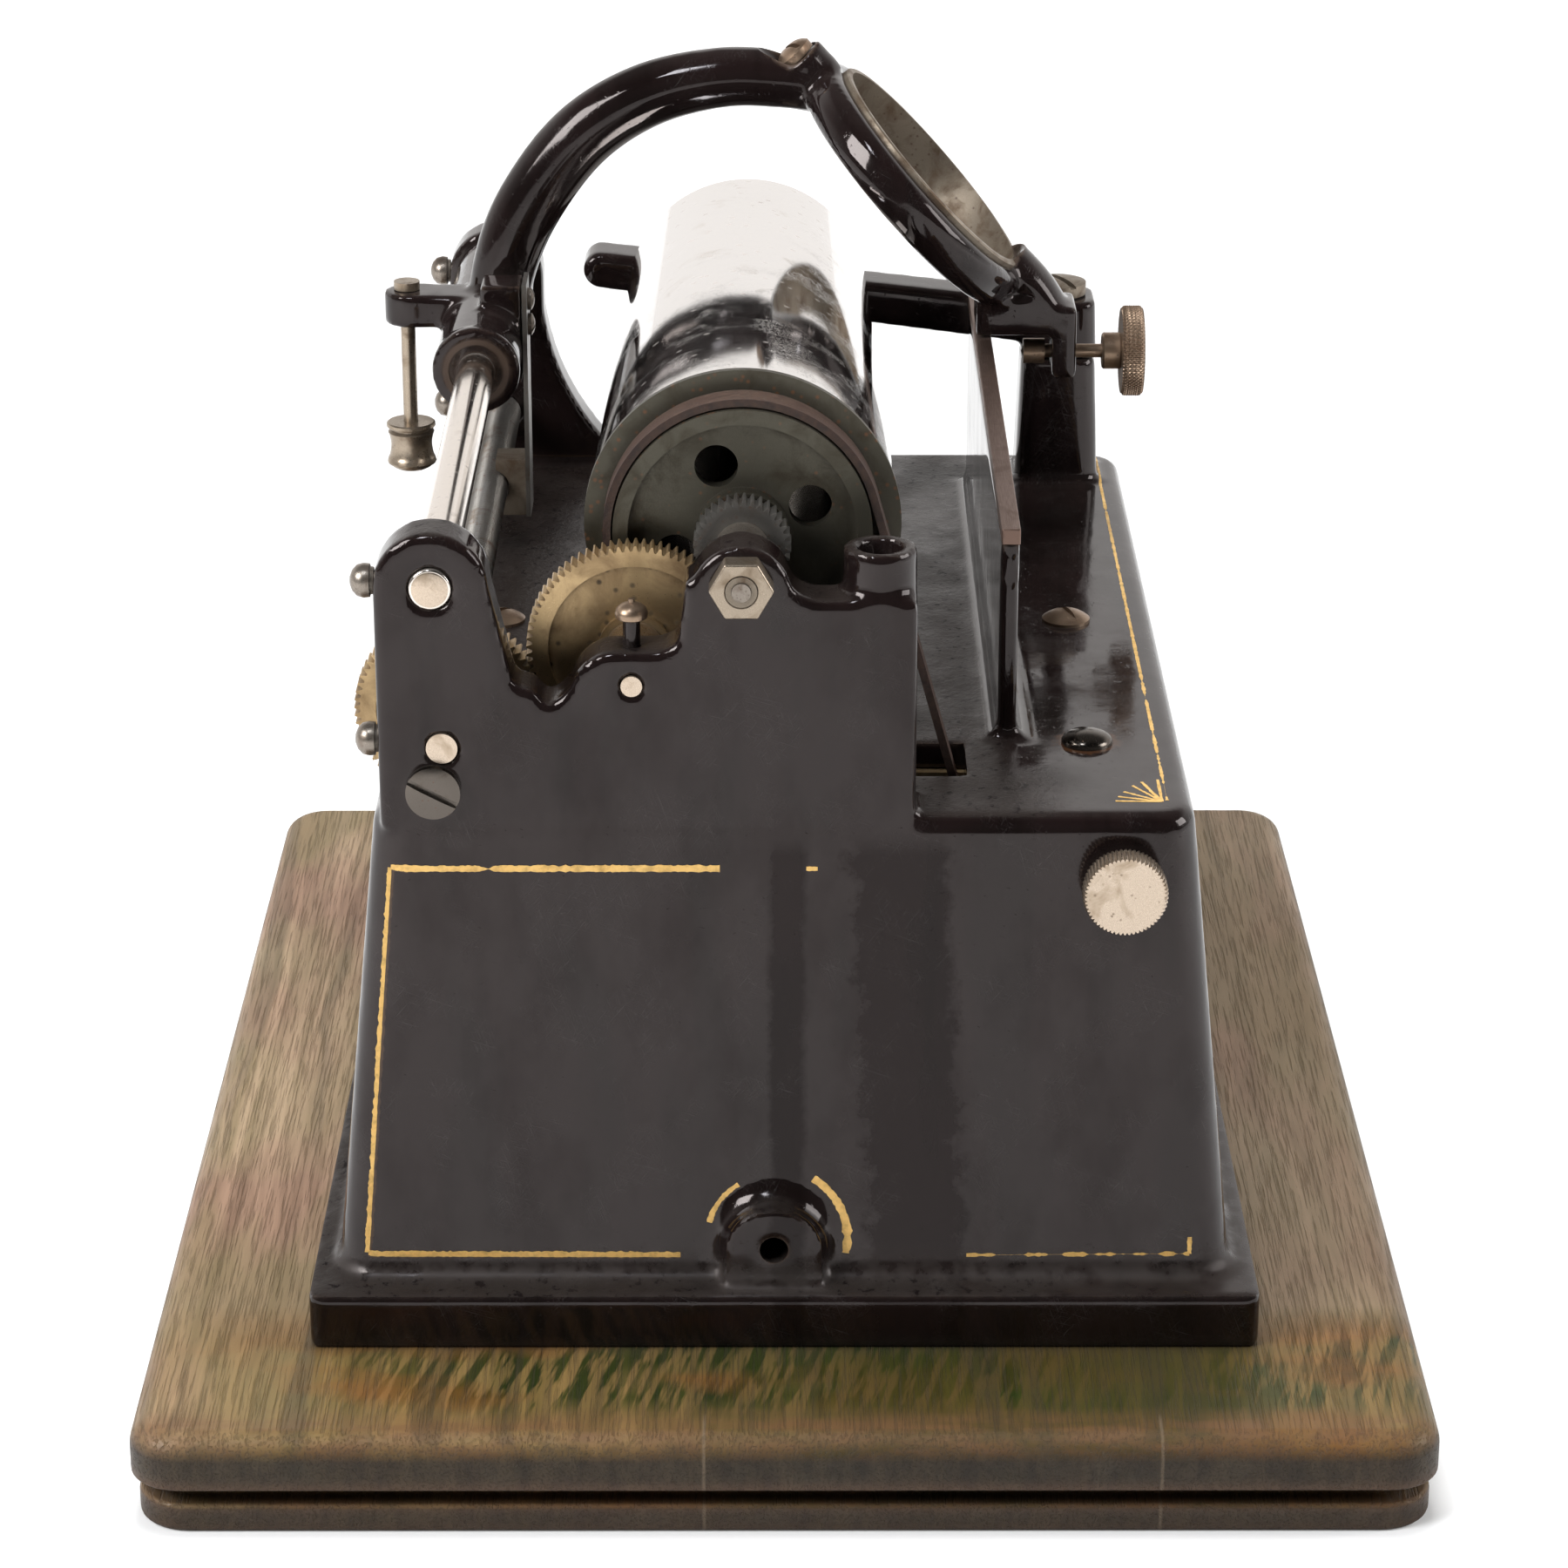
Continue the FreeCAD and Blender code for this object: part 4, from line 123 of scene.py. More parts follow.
def add(kind, inputs=None, **settings):
    """Adds a node, sets it up and fills its inputs."""
    made = Sheet.tree.nodes.new(kind)
    for setting, value in settings.items():
        setattr(made, setting, value)
    for socket, value in (inputs or {}).items():
        link(value, made.inputs[socket])
    return made


def shade(kind, inputs=None, **settings):
    """A shader node's first output."""
    return add("ShaderNode" + kind, inputs, **settings).outputs[0]


def geo(kind, inputs=None, **settings):
    """A geometry node's first output."""
    return add("GeometryNode" + kind, inputs, **settings).outputs[0]


def calc(operation, *values):
    return shade("Math", dict(enumerate(values)), operation=operation)


def vector_calc(operation, *values, out=0):
    return add("ShaderNodeVectorMath", dict(enumerate(values)), operation=operation).outputs[out]


def scaled(vector, amount):
    return shade("VectorMath", {0: vector, 3: amount}, operation="SCALE")


times, plus, minus, over, most, least = (partial(calc, operation) for operation in (
    "MULTIPLY", "ADD", "SUBTRACT", "DIVIDE", "MAXIMUM", "MINIMUM"))
moved, stretched = (partial(vector_calc, operation) for operation in ("ADD", "MULTIPLY"))
length_of = partial(vector_calc, "LENGTH", out=1)


def joined(x=0.0, y=0.0, z=0.0):
    return shade("CombineXYZ", {0: x, 1: y, 2: z})


def split(vector):
    return add("ShaderNodeSeparateXYZ", {0: vector}).outputs


def spread(value, low, high, to_low=0.0, to_high=1.0):
    """The value's range from low to high becomes to_low to to_high, and stays inside it."""
    return shade("MapRange", {0: value, 1: low, 2: high, 3: to_low, 4: to_high})


def tint(mask, plain, other):
    """One colour where the mask is 0, another where it is 1."""
    whole = [(*c, 1.0) if isinstance(c, tuple) else c for c in (plain, other)]
    return add("ShaderNodeMix", {0: mask, 6: whole[0], 7: whole[1]}, data_type="RGBA").outputs[2]


def layers(ground, *coats):
    """Colours over one another: each coat has its mask, how much of it covers, and its colour."""
    for mask, cover, colour in coats:
        ground = tint(times(mask, cover) if cover < 1.0 else mask, ground, colour)
    return ground


def noise(place, scale, detail, roughness, twist=0.0):
    return shade("TexNoise", {0: place, 2: scale, 3: detail, 4: roughness, 8: twist})


def grain(place, size, detail=3.0, roughness=0.5, twist=0.0):
    """Cloudy noise with features of about that size in millimetres."""
    return noise(place, 1.0 / size, detail, roughness, twist)


def in_mm(stretch=(1.0, 1.0, 1.0), turn=(0.0, 0.0, 0.0)):
    """The piece's own coordinates in millimetres, squeezed by stretch and turned."""
    place = add("ShaderNodeTexCoord").outputs["Object"]
    turned = shade("Mapping", {0: place, 2: turn, 3: [1.0 / MM] * 3})
    return stretched(turned, stretch)


def streaks(stretch, detail=3.0, roughness=0.5):
    """Cloudy noise in the piece's own millimetres, squeezed by stretch along each axis."""
    return grain(in_mm(stretch), 1.0, detail, roughness)


def normal_up():
    """How far the surface looks up, from -1 to 1."""
    return split(add("ShaderNodeNewGeometry").outputs["Normal"])[2]


def new_sheet(name, kind, takes, gives):
    """A node group to draw in, with its inputs in order and then its output sockets."""
    Sheet.tree = bpy.data.node_groups.new(name, kind)
    for way, sockets in (("INPUT", takes), ("OUTPUT", gives)):
        for label, socket in sockets:
            Sheet.tree.interface.new_socket(label, in_out=way, socket_type="NodeSocket" + socket)
    return *add("NodeGroupInput").outputs[:len(takes)], add("NodeGroupOutput").inputs


def new_group(name, numbers, gives):
    """A shared effect of a place and some numbers."""
    takes = [("Place", "Vector")] + [(label, "Float") for label in numbers]
    return new_sheet(name, "ShaderNodeTree", takes, [(label, "Float") for label in gives])


def openness(reach, inside=False):
    """How open the surroundings are within a reach in millimetres, from 0 to 1."""
    reached = {"Distance": times(reach, MM)}
    return add("ShaderNodeAmbientOcclusion", reached, inside=inside, samples=6).outputs["AO"]


def make_worn_edges():
    """Outer edges that rubbing has laid bare, in patches."""
    place, width, patch, amount, gives = new_group("worn_edges", ("Width", "Patch", "Amount"), ["Mask"])
    edge = spread(openness(width, inside=True), 0.86, 0.45)
    patches = noise(place, over(1.0, patch), 4.0, 0.6)
    bar = minus(0.85, times(amount, 0.5))
    bare = minus(plus(times(edge, 0.45), patches), bar)
    link(times(spread(bare, 0.0, 0.08), edge), gives["Mask"])
    return Sheet.tree


def make_settled_dirt():
    """Dust and old oil: in corners, and thinly on faces that look up."""
    place, reach, corners, tops, gives = new_group("settled_dirt", ("Reach", "Corners", "Tops"), ["Mask"])
    corner = times(spread(openness(reach), 0.9, 0.35), corners)
    top = times(spread(normal_up(), 0.6, 1.0), tops)
    cloud = spread(grain(place, 5.0, 6.0, 0.65), 0.32, 0.7, 0.25, 1.0)
    specks = spread(grain(place, 0.55, 2.0, 0.5), 0.62, 0.72)
    dusty = times(top, plus(times(cloud, 0.55), specks))
    link(least(plus(times(corner, cloud), dusty), 1.0), gives["Mask"])
    return Sheet.tree


def make_fine_scratches():
    """Hair lines in three directions: the middle level of noises stretched each its own way."""
    place, long, density, gives = new_group("fine_scratches", ("Length", "Density"), ["Mask"])
    whole = 0.0
    for turn, shift in ((0.4, 3.0), (-0.75, 11.0), (1.35, 29.0)):
        turned = shade("VectorRotate", {0: place, 2: (1.0, 0.25, 0.4), 3: turn})
        thin = stretched(turned, joined(0.35, 2.6, over(1.0, long)))
        fine = noise(moved(thin, (shift, shift, 0.0)), 1.0, 1.0, 0.4)
        whole = most(whole, spread(calc("ABSOLUTE", minus(fine, 0.5)), times(density, 0.012), 0.0))
    gaps = spread(grain(place, 9.0, 2.0), 0.5, 0.62)
    link(times(whole, gaps), gives["Mask"])
    return Sheet.tree


def make_tarnish():
    """Stains that creep over metal: broad clouds, and small spots inside them."""
    place, size, amount, gives = new_group("tarnish", ("Size", "Amount"), ["Clouds", "Spots"])
    scale = over(1.0, size)
    low = minus(0.72, times(amount, 0.34))
    link(spread(noise(place, scale, 6.0, 0.62, 0.6), low, plus(low, 0.22)), gives["Clouds"])
    cells = add("ShaderNodeTexVoronoi", {0: place, 2: times(scale, 5.0)}).outputs
    drop = spread(cells["Distance"], 0.3, 0.12)
    rare = spread(split(cells["Color"])[0], 0.62, 0.7)
    link(times(times(drop, rare), amount), gives["Spots"])
    return Sheet.tree


WORN_EDGES = make_worn_edges()
SETTLED_DIRT = make_settled_dirt()
FINE_SCRATCHES = make_fine_scratches()
TARNISH = make_tarnish()


def effect(group, place, *numbers):
    """Places a shared effect in a material with its own numbers."""
    made = add("ShaderNodeGroup", node_tree=group)
    for number, value in enumerate((place, *numbers)):
        link(value, made.inputs[number])
    return made.outputs


def start_finish(name):
    material = bpy.data.materials.new(name)
    material.use_nodes = True
    Sheet.tree = material.node_tree
    return material, Sheet.tree.nodes["Principled BSDF"]


def surface(shader, colour, roughness, height, depth, shine=0.0):
    """Wires a finish: colour, roughness, a height with its depth in millimetres, and metallic shine."""
    bump = shade("Bump", {"Strength": 1.0, "Distance": depth * MM, "Height": height})
    for label, value in (("Base Color", colour), ("Roughness", roughness), ("Metallic", shine),
                         ("Normal", bump)):
        link(value, shader.inputs[label])


def lacquer():
    """Black stove enamel on cast iron: glossy, a little wavy, dusty on top, rubbed brown at edges."""
    material, shader = start_finish("black_lacquer_gloss")
    place = in_mm()
    x, y, z = split(place)
    up = spread(normal_up(), 0.75, 0.95)
    deck_top = spread(z, DECK - 3.0, DECK - 0.5)
    dirt = effect(SETTLED_DIRT, place, 3.5, 0.45, 0.12)[0]
    worn = effect(WORN_EDGES, place, 1.1, 3.2, 0.32)[0]
    lines = effect(FINE_SCRATCHES, place, 16.0, 0.55)[0]

    # The deck's dull sunk middle and near end, with pits, and rust round one screw.
    sunk = times(spread(y, -36.5, -33.0), spread(z, DECK + 2.5, DECK + 0.8))
    near = times(spread(x, -62.0, -70.0), spread(y, -50.0, -34.0))
    cloud = spread(grain(place, 16.0, 5.0, 0.65), 0.38, 0.58, 0.55, 1.0)
    well = times(times(up, cloud), most(sunk, near))
    pits = times(spread(grain(place, 1.9, 4.0, 0.7), 0.57, 0.62), well)
    beside = vector_calc("DISTANCE", joined(x, y), (*DECK_SCREW, 0.0), out=1)
    fringe = plus(beside, spread(grain(place, 1.6, 3.0, 0.6), 0.3, 0.7, -0.9, 0.9))
    rusty = times(times(spread(fringe, 5.4, 4.4), up), deck_top)

    # Two bands down the end wall, one narrow and one wide with torn sides: a painted dark reflection, where
    # the specular level drops.
    ragged = spread(grain(place, 5.0, 6.0, 0.75), 0.3, 0.7, -1.0, 1.0)
    wavy = plus(y, times(ragged, 0.8))
    torn = plus(plus(y, times(ragged, 2.4)), spread(z, 30.0, 95.0, 1.8, -1.8))
    narrow = times(spread(wavy, -3.8, -2.4), spread(wavy, 2.8, 1.6))
    wide = times(spread(torn, -27.4, -25.0), spread(torn, -10.0, -12.4))
    wall = times(spread(z, DECK - 2.0, DECK - 6.0), spread(x, -80.0, -84.0))
    dark_reflection_bands = times(most(narrow, wide), wall)

    # Dust that lies on the foot's ledge.
    ledge = times(spread(z, BOARD_TOP + 15.0, BOARD_TOP + 10.5), spread(z, BOARD_TOP + 8.3, BOARD_TOP + 9.3))
    ledge_dust = times(ledge, spread(grain(place, 3.0, 4.0, 0.6), 0.2, 0.55))

    streak = spread(streaks((0.03, 0.1, 0.018), 4.0, 0.6), 0.46, 0.6)
    colour = layers(tint(streak, (0.0098, 0.006, 0.0058), (0.006, 0.0038, 0.0036)),
                    (dirt, 1.0, (0.06, 0.05, 0.043)),
                    (ledge_dust, 0.45, (0.042, 0.035, 0.031)),
                    (well, 0.75, (0.02, 0.016, 0.014)),
                    (worn, 1.0, (0.058, 0.038, 0.027)),
                    (pits, 1.0, (0.007, 0.005, 0.005)),
                    (rusty, 0.85, (0.05, 0.022, 0.01)),
                    (lines, 0.3, (0.085, 0.08, 0.078)))
    cloudy = spread(grain(place, 14.0, 5.0, 0.6), 0.35, 0.7, 0.035, 0.13)
    dulled = plus(times(most(dirt, ledge_dust), 0.4), times(worn, 0.35))
    rough = plus(plus(cloudy, dulled), times(well, 0.3))
    waves = times(grain(place, 11.0, 2.0, 0.4), 0.8)
    skin = plus(waves, times(grain(place, 2.4, 3.0, 0.5), 0.07))
    dents = times(spread(grain(place, 0.9, 2.0, 0.6), 0.66, 0.74), -0.1)
    rust = times(grain(place, 1.1, 3.0, 0.7), times(well, 0.95))
    height = minus(plus(plus(skin, dents), rust), times(lines, 0.012))
    surface(shader, colour, least(rough, 0.85), height, 0.12)
    smudges = spread(streaks((0.05, 0.09, 0.05), 5.0, 0.6), 0.45, 0.7, 0.0, 0.28)
    # The end wall's two bands lower the specular level as a painted dark reflection; smudges, pits and the
    # dull deck lower it too.
    quiet = most(most(times(dark_reflection_bands, 0.5), smudges), most(pits, times(well, 0.6)))
    link(spread(quiet, 0.0, 1.0, 0.43, 0.06), shader.inputs["Specular IOR Level"])
    link((1.0, 0.91, 0.89, 1.0), shader.inputs["Specular Tint"])
    return material


def metal(name, colour, stain, spot, rough, amount, size=6.0, stretch=(1.0,) * 3, brushed=0.12, shine=1.0):
    """Worn metal: stain clouds, dark spots, brushed lines and fine scratches."""
    material, shader = start_finish(name)
    place = in_mm()
    clouds, spots = effect(TARNISH, place, size, amount)
    dirt = effect(SETTLED_DIRT, place, 1.6, 0.75, 0.05)[0]
    lines = effect(FINE_SCRATCHES, place, 7.0, 0.8)[0]
    brush = grain(in_mm(stretch), 0.22, 3.0, 0.6)
    lined = tint(spread(brush, 0.3, 0.7, 0.0, brushed), colour, tuple(c * 0.55 for c in colour))
    dirty = layers(lined, (clouds, 1.0, stain), (spots, 1.0, spot), (dirt, 0.8, (0.045, 0.036, 0.027)))
    polish = plus(spread(brush, 0.3, 0.7, rough * 0.8, rough * 1.25), times(clouds, 0.16))
    soft = plus(polish, plus(times(lines, 0.12), times(dirt, 0.35)))
    sheen = minus(shine, times(most(spots, dirt), 0.7))
    height = minus(times(brush, brushed), times(lines, 0.15))
    surface(shader, dirty, soft, height, 0.01, sheen)
    return material


def oak():
    """Old oak under a green and brown stain: long grain, open pores, ray flecks and rubbed edges."""
    material, shader = start_finish("oak_stained")
    place = in_mm()
    x, y, _ = split(place)
    worn = effect(WORN_EDGES, place, 3.2, 9.0, 0.75)[0]
    dirt = effect(SETTLED_DIRT, place, 5.0, 0.8, 0.12)[0]

    # The growth rings, the dark lines between them and the pores run along the board.
    sway = joined(y=times(streaks((0.01, 0.05, 0.05)), 4.0))
    rings = grain(moved(in_mm((0.012, 0.36, 0.36)), sway), 1.0, 5.0, 0.62)
    dark_line = spread(grain(moved(in_mm((0.006, 0.22, 0.22)), sway), 1.0, 2.0, 0.5), 0.56, 0.66)
    pores = spread(streaks((0.085, 2.4, 2.4), 3.0, 0.6), 0.5, 0.64)
    patches = streaks((0.016, 0.03, 0.03), 3.0, 0.55)
    band = spread(rings, 0.36, 0.64)
    light = tint(band, (0.235, 0.168, 0.088), (0.37, 0.262, 0.158))
    brown = tint(band, (0.19, 0.112, 0.07), (0.33, 0.205, 0.135))
    moss = spread(streaks((0.01, 0.034, 0.034), 4.0, 0.6), 0.5, 0.62, 0.0, 0.55)

    # The near end is stained ochre, with painted shade as a dark strip towards its right end, green brush
    # marks and a red glow.
    near = times(spread(x, -84.0, -96.0), spread(y, 98.0, 66.0, 0.35, 1.0))
    ochre = tint(band, (0.092, 0.064, 0.014), (0.19, 0.118, 0.028))
    shaded_strip = times(near, times(spread(y, 30.0, -15.0), spread(y, -84.0, -62.0)))
    strokes = spread(grain(in_mm((0.055, 0.5, 0.5), (0.0, 0.0, 0.2)), 1.0, 3.0, 0.55, 0.1), 0.46, 0.54)
    broad = spread(streaks((0.03, 0.03, 0.03), 2.0), 0.3, 0.46)
    fading = times(spread(x, -121.0, -113.0), spread(y, 78.0, 50.0))
    flecks = times(times(times(strokes, broad), fading), plus(times(near, 0.9), 0.06))
    green = tint(band, (0.01, 0.02, 0.003), (0.03, 0.038, 0.007))
    clear = times(minus(near, times(shaded_strip, 0.8)), 0.55)
    glow = times(spread(streaks((0.05, 0.022, 0.05)), 0.5, 0.62), clear)

    # The near edge's rubbed crest, the dark sides and the joints between the boards. The sides are streaky
    # end grain with painted shade: every face that doesn't look up takes their dark colour.
    worn_crest = spread(streaks((0.3, 0.08, 0.3), 4.0, 0.6), 0.35, 0.6, 0.15, 0.7)
    crest = times(spread(x, -116.0, -121.5), worn_crest)
    ends = spread(streaks((0.25, 0.42, 0.14), 5.0, 0.7), 0.38, 0.62)
    side_grain_and_shade = tint(ends, (0.01, 0.007, 0.004), (0.034, 0.024, 0.013))
    seams = [spread(calc("ABSOLUTE", minus(y, seam)), 0.35, 0.1) for seam in (12.0, -56.0)]
    joint = times(spread(x, -118.0, -121.0), most(*seams))

    colour = layers(tint(spread(patches, 0.4, 0.6), light, brown),
                    (moss, 1.0, (0.17, 0.14, 0.058)),
                    (spread(y, -20.0, -70.0), 0.55, (0.105, 0.07, 0.042)),
                    (near, 0.8, ochre),
                    # painted shade: the dark strip on the near end's right part
                    (shaded_strip, 0.88, (0.036, 0.034, 0.009)),
                    (flecks, 1.0, green),
                    (glow, 1.0, (0.2, 0.07, 0.018)),
                    (crest, 1.0, (0.14, 0.07, 0.034)),
                    # painted shade, over streaky end grain, on faces that don't look up
                    (spread(normal_up(), 0.7, 0.1), 0.9, side_grain_and_shade),
                    (dark_line, 0.35, (0.045, 0.034, 0.02)),
                    (pores, 0.34, (0.03, 0.023, 0.013)),
                    (worn, 0.45, (0.175, 0.09, 0.055)),
                    (joint, 0.45, (0.2, 0.15, 0.1)),
                    (dirt, 0.6, (0.06, 0.046, 0.033)))
    rough = plus(spread(patches, 0.3, 0.7, 0.36, 0.5), times(pores, 0.18))
    surface(shader, colour, rough, minus(times(rings, 0.35), pores), 0.1)
    link(0.3, shader.inputs["Specular IOR Level"])
    return material


def gold():
    """Gold paint of the lining, brushed on by hand and worn thin."""
    material, shader = start_finish("gold_lining")
    place = in_mm()
    thin = spread(grain(place, 1.6, 4.0, 0.7), 0.45, 0.68)
    mottled = tint(grain(place, 5.0), (0.72, 0.42, 0.11), (0.88, 0.58, 0.2))
    surface(shader, tint(times(thin, 0.35), mottled, (0.12, 0.07, 0.02)),
            spread(thin, 0.0, 1.0, 0.38, 0.6), thin, 0.01, 0.35)
    return material


def leather():
    """Old belt leather: fibrous along the run, dusty red-brown."""
    material, shader = start_finish("belt_leather_old")
    place = in_mm()
    fibre = streaks((2.5, 0.6, 0.6), 5.0, 0.65)
    dirt = effect(SETTLED_DIRT, place, 1.5, 0.6, 0.3)[0]
    hide = tint(spread(fibre, 0.35, 0.65), (0.026, 0.014, 0.011), (0.064, 0.036, 0.026))
    colour = tint(times(dirt, 0.6), hide, (0.2, 0.16, 0.12))
    surface(shader, colour, spread(fibre, 0.3, 0.7, 0.62, 0.85), fibre, 0.15)
    return material


# A metal's numbers are its colour, stains and spots, then roughness, tarnish and the stains' size.
FINISHES = {
    "oak": oak(),
    "black_lacquer": lacquer(),
    "nickel": metal("nickel_worn", (0.74, 0.7, 0.65), (0.42, 0.35, 0.26), (0.12, 0.08, 0.05), 0.17, 0.45),
    "dark_steel": metal("steel_oiled_dark", (0.205, 0.195, 0.18), (0.115, 0.082, 0.058),
                        (0.1, 0.045, 0.02), 0.34, 0.55, 5.0, shine=0.85),
    "bright_steel": metal("steel_bright", (0.6, 0.575, 0.54), (0.3, 0.25, 0.19), (0.1, 0.06, 0.035),
                          0.25, 0.45, 4.0),
    "brass": metal("brass_tarnished", (0.56, 0.4, 0.215), (0.32, 0.215, 0.115), (0.055, 0.04, 0.028),
                   0.33, 0.75, 9.0, shine=0.9),
    "spring_steel": metal("spring_steel_blued", (0.17, 0.185, 0.235), (0.12, 0.095, 0.085),
                          (0.08, 0.04, 0.02), 0.3, 0.4),
    "belt_leather": leather(),
}
MIRROR_NICKEL = metal("mandrel_nickel_mirror", (0.83, 0.8, 0.775), (0.66, 0.6, 0.54), (0.35, 0.26, 0.19),
                      0.045, 0.42, 11.0, (8.0, 0.25, 0.25), brushed=0.02)
FLANGE_STEEL = metal("flange_steel_grey", (0.086, 0.079, 0.06), (0.062, 0.052, 0.036),
                     (0.16, 0.062, 0.022), 0.38, 0.7, 7.0, shine=0.75)
KNOB_NICKEL = metal("knob_nickel_warm", (0.58, 0.475, 0.375), (0.36, 0.27, 0.185), (0.13, 0.08, 0.04),
                    0.27, 0.6, 5.0)
BARE_IRON = metal("bare_iron_brown", (0.235, 0.195, 0.15), (0.125, 0.085, 0.055), (0.07, 0.035, 0.018),
                  0.42, 0.8, 5.0, shine=0.7)
OLD_BRASS = metal("old_brass_brown", (0.33, 0.235, 0.165), (0.2, 0.125, 0.08), (0.07, 0.04, 0.025),
                  0.34, 0.7, 4.0, shine=0.9)
BLUED_STEEL = metal("screw_steel_blued", (0.122, 0.106, 0.092), (0.092, 0.07, 0.052), (0.12, 0.05, 0.02),
                    0.16, 0.45, 3.0)
ROD_STEEL = metal("rod_steel_warm", (0.82, 0.75, 0.68), (0.46, 0.37, 0.29), (0.14, 0.08, 0.05),
                  0.13, 0.35, 8.0, (0.2, 4.0, 4.0))
AGED_NICKEL = metal("nickel_aged_brown", (0.37, 0.305, 0.235), (0.21, 0.155, 0.105), (0.09, 0.05, 0.03),
                    0.3, 0.65, 4.0, shine=0.95)
SCREW_STEEL = metal("screw_steel_grey", (0.265, 0.23, 0.195), (0.15, 0.112, 0.086), (0.08, 0.045, 0.03),
                    0.3, 0.55, 3.0, shine=0.9)
STRIP_STEEL = metal("strip_steel_ground", (0.2, 0.132, 0.105), (0.14, 0.09, 0.068), (0.08, 0.04, 0.03),
                    0.44, 0.5, 8.0, (0.06, 2.0, 2.0), brushed=0.3, shine=0.9)
GOLD = gold()
LACQUER = FINISHES["black_lacquer"]

for node, made in NODES.items():
    made.material_slots[0].link = "OBJECT"
    made.material_slots[0].material = FINISHES[SLOT_OF[node]]
for node, coat in (("mandrel_shell", MIRROR_NICKEL), ("mandrel_pulley", FLANGE_STEEL),
                   ("idler_stud", KNOB_NICKEL), ("feed_pivot_near", KNOB_NICKEL),
                   ("mandrel_shaft", SCREW_STEEL), ("mandrel_bearing_bush", BARE_IRON),
                   ("half_nut", BARE_IRON), ("hanging_rod", AGED_NICKEL),
                   ("carriage_bush", LACQUER)):
    NODES[node].material_slots[0].material = coat


# Making pieces

def plain(name, mesh):
    made = bpy.data.objects.new(name, mesh)
    bpy.context.scene.collection.objects.link(made)
    return made


def built(name, work):
    """The piece whose mesh was made in the work space."""
    mesh = bpy.data.meshes.new(name)
    work.to_mesh(mesh)
    work.free()
    return plain(name, mesh)


def forget(made):
    """Takes away a helping piece with its mesh."""
    mesh = made.data
    bpy.data.objects.remove(made)
    bpy.data.meshes.remove(mesh)


def settled(made, weighted=False):
    """The piece with its modifiers worked in: a plain mesh with even shading."""
    if weighted:
        made.modifiers.new("shading", "WEIGHTED_NORMAL").keep_sharp = True
    bpy.context.view_layer.update()
    seen = made.evaluated_get(bpy.context.evaluated_depsgraph_get())
    mesh = bpy.data.meshes.new_from_object(seen)
    made.modifiers.clear()
    old, made.data = made.data, mesh
    bpy.data.meshes.remove(old)
    return made


def smooth(mesh, angle):
    mesh.shade_smooth()
    mesh.set_sharp_from_angle(angle=math.radians(angle))


def place_piece(made, body, slot, coat, *nodes, crease=None):
    """Dresses a piece in its coat, hangs it on its body and hides the CAD nodes it replaces. The slot is not
    used.
    """
    if crease:
        smooth(made.data, crease)
    made.data.materials.clear()
    made.data.materials.append(coat)
    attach(made, body)
    if nodes:
        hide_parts(*nodes)
    return made


def eased(node, width, coat=None):
    """A copy of a CAD node with its sharp edges eased, which stands for the node."""
    work = bmesh.new()
    work.from_mesh(NODES[node].data)
    bmesh.ops.remove_doubles(work, verts=work.verts, dist=WELD)
    bmesh.ops.dissolve_limit(work, angle_limit=math.radians(0.3), verts=work.verts, edges=work.edges)
    made = built(node + "_eased", work)
    for label in ("custom_normal", "sharp_face", "sharp_edge"):
        if label in made.data.attributes:
            made.data.attributes.remove(made.data.attributes[label])
    ease = made.modifiers.new("ease", "BEVEL")
    ease.width = width * MM
    ease.segments = 3
    ease.limit_method = "ANGLE"
    ease.angle_limit = math.radians(32.0)
    ease.use_clamp_overlap = False
    smooth(made.data, 180.0)
    settled(made, weighted=True)
    return place_piece(made, BODY_OF[node], SLOT_OF[node], coat or FINISHES[SLOT_OF[node]], node)


def turned_to(made, middle, axis):
    """Turns a piece made along Z to the axis and moves its middle there."""
    turn = Vector(axis).to_track_quat("Z", "Y").to_matrix().to_4x4()
    made.data.transform(Matrix.Translation(Vector(middle) * MM) @ turn)
    return made


def lathe(name, profile, middle, axis, steps=64):
    """A turned piece: profile is a closed line of (along, radius) in millimetres."""
    work = bmesh.new()
    corners = [work.verts.new((radius * MM, 0.0, along * MM)) for along, radius in profile]
    edges = [work.edges.new((corners[i - 1], corners[i])) for i in range(len(corners))]
    bmesh.ops.spin(work, geom=corners + edges, cent=(0, 0, 0), axis=ALONG_Z, angle=math.tau,
                   steps=steps, use_merge=True)
    bmesh.ops.remove_doubles(work, verts=work.verts, dist=WELD / 2)
    bmesh.ops.recalc_face_normals(work, faces=work.faces)
    made = turned_to(built(name, work), middle, axis)
    smooth(made.data, TURNED_CREASE)
    return made


# Trees of repeated shapes

def new_tree(name, numbers, **others):
    """A geometry tree with named inputs, which takes and gives one geometry."""
    takes = [("Geometry", "Geometry")] + [(label, "Float") for label in numbers] + list(others.items())
    return new_sheet(name, "GeometryNodeTree", takes + [("Finish", "Material")], [("Geometry", "Geometry")])


def lifted(shape, rise):
    return geo("Transform", {0: shape, 1: joined(z=rise)})


def both_of(one, other):
    both = add("GeometryNodeJoinGeometry")
    link(one, both.inputs[0])
    link(other, both.inputs[0])
    return both.outputs[0]


def cylinder(radius, height, around, rows=1, caps=1):
    return geo("MeshCylinder", {0: around, 1: rows, 2: caps, 3: radius, 4: height})


def close_tree(gives, geometry, coat):
    """Every tree ends in Realize Instances and Set Material."""
    real = geo("RealizeInstances", {0: geometry})
    link(geo("SetMaterial", {0: real, 2: coat}), gives[0])
    return Sheet.tree


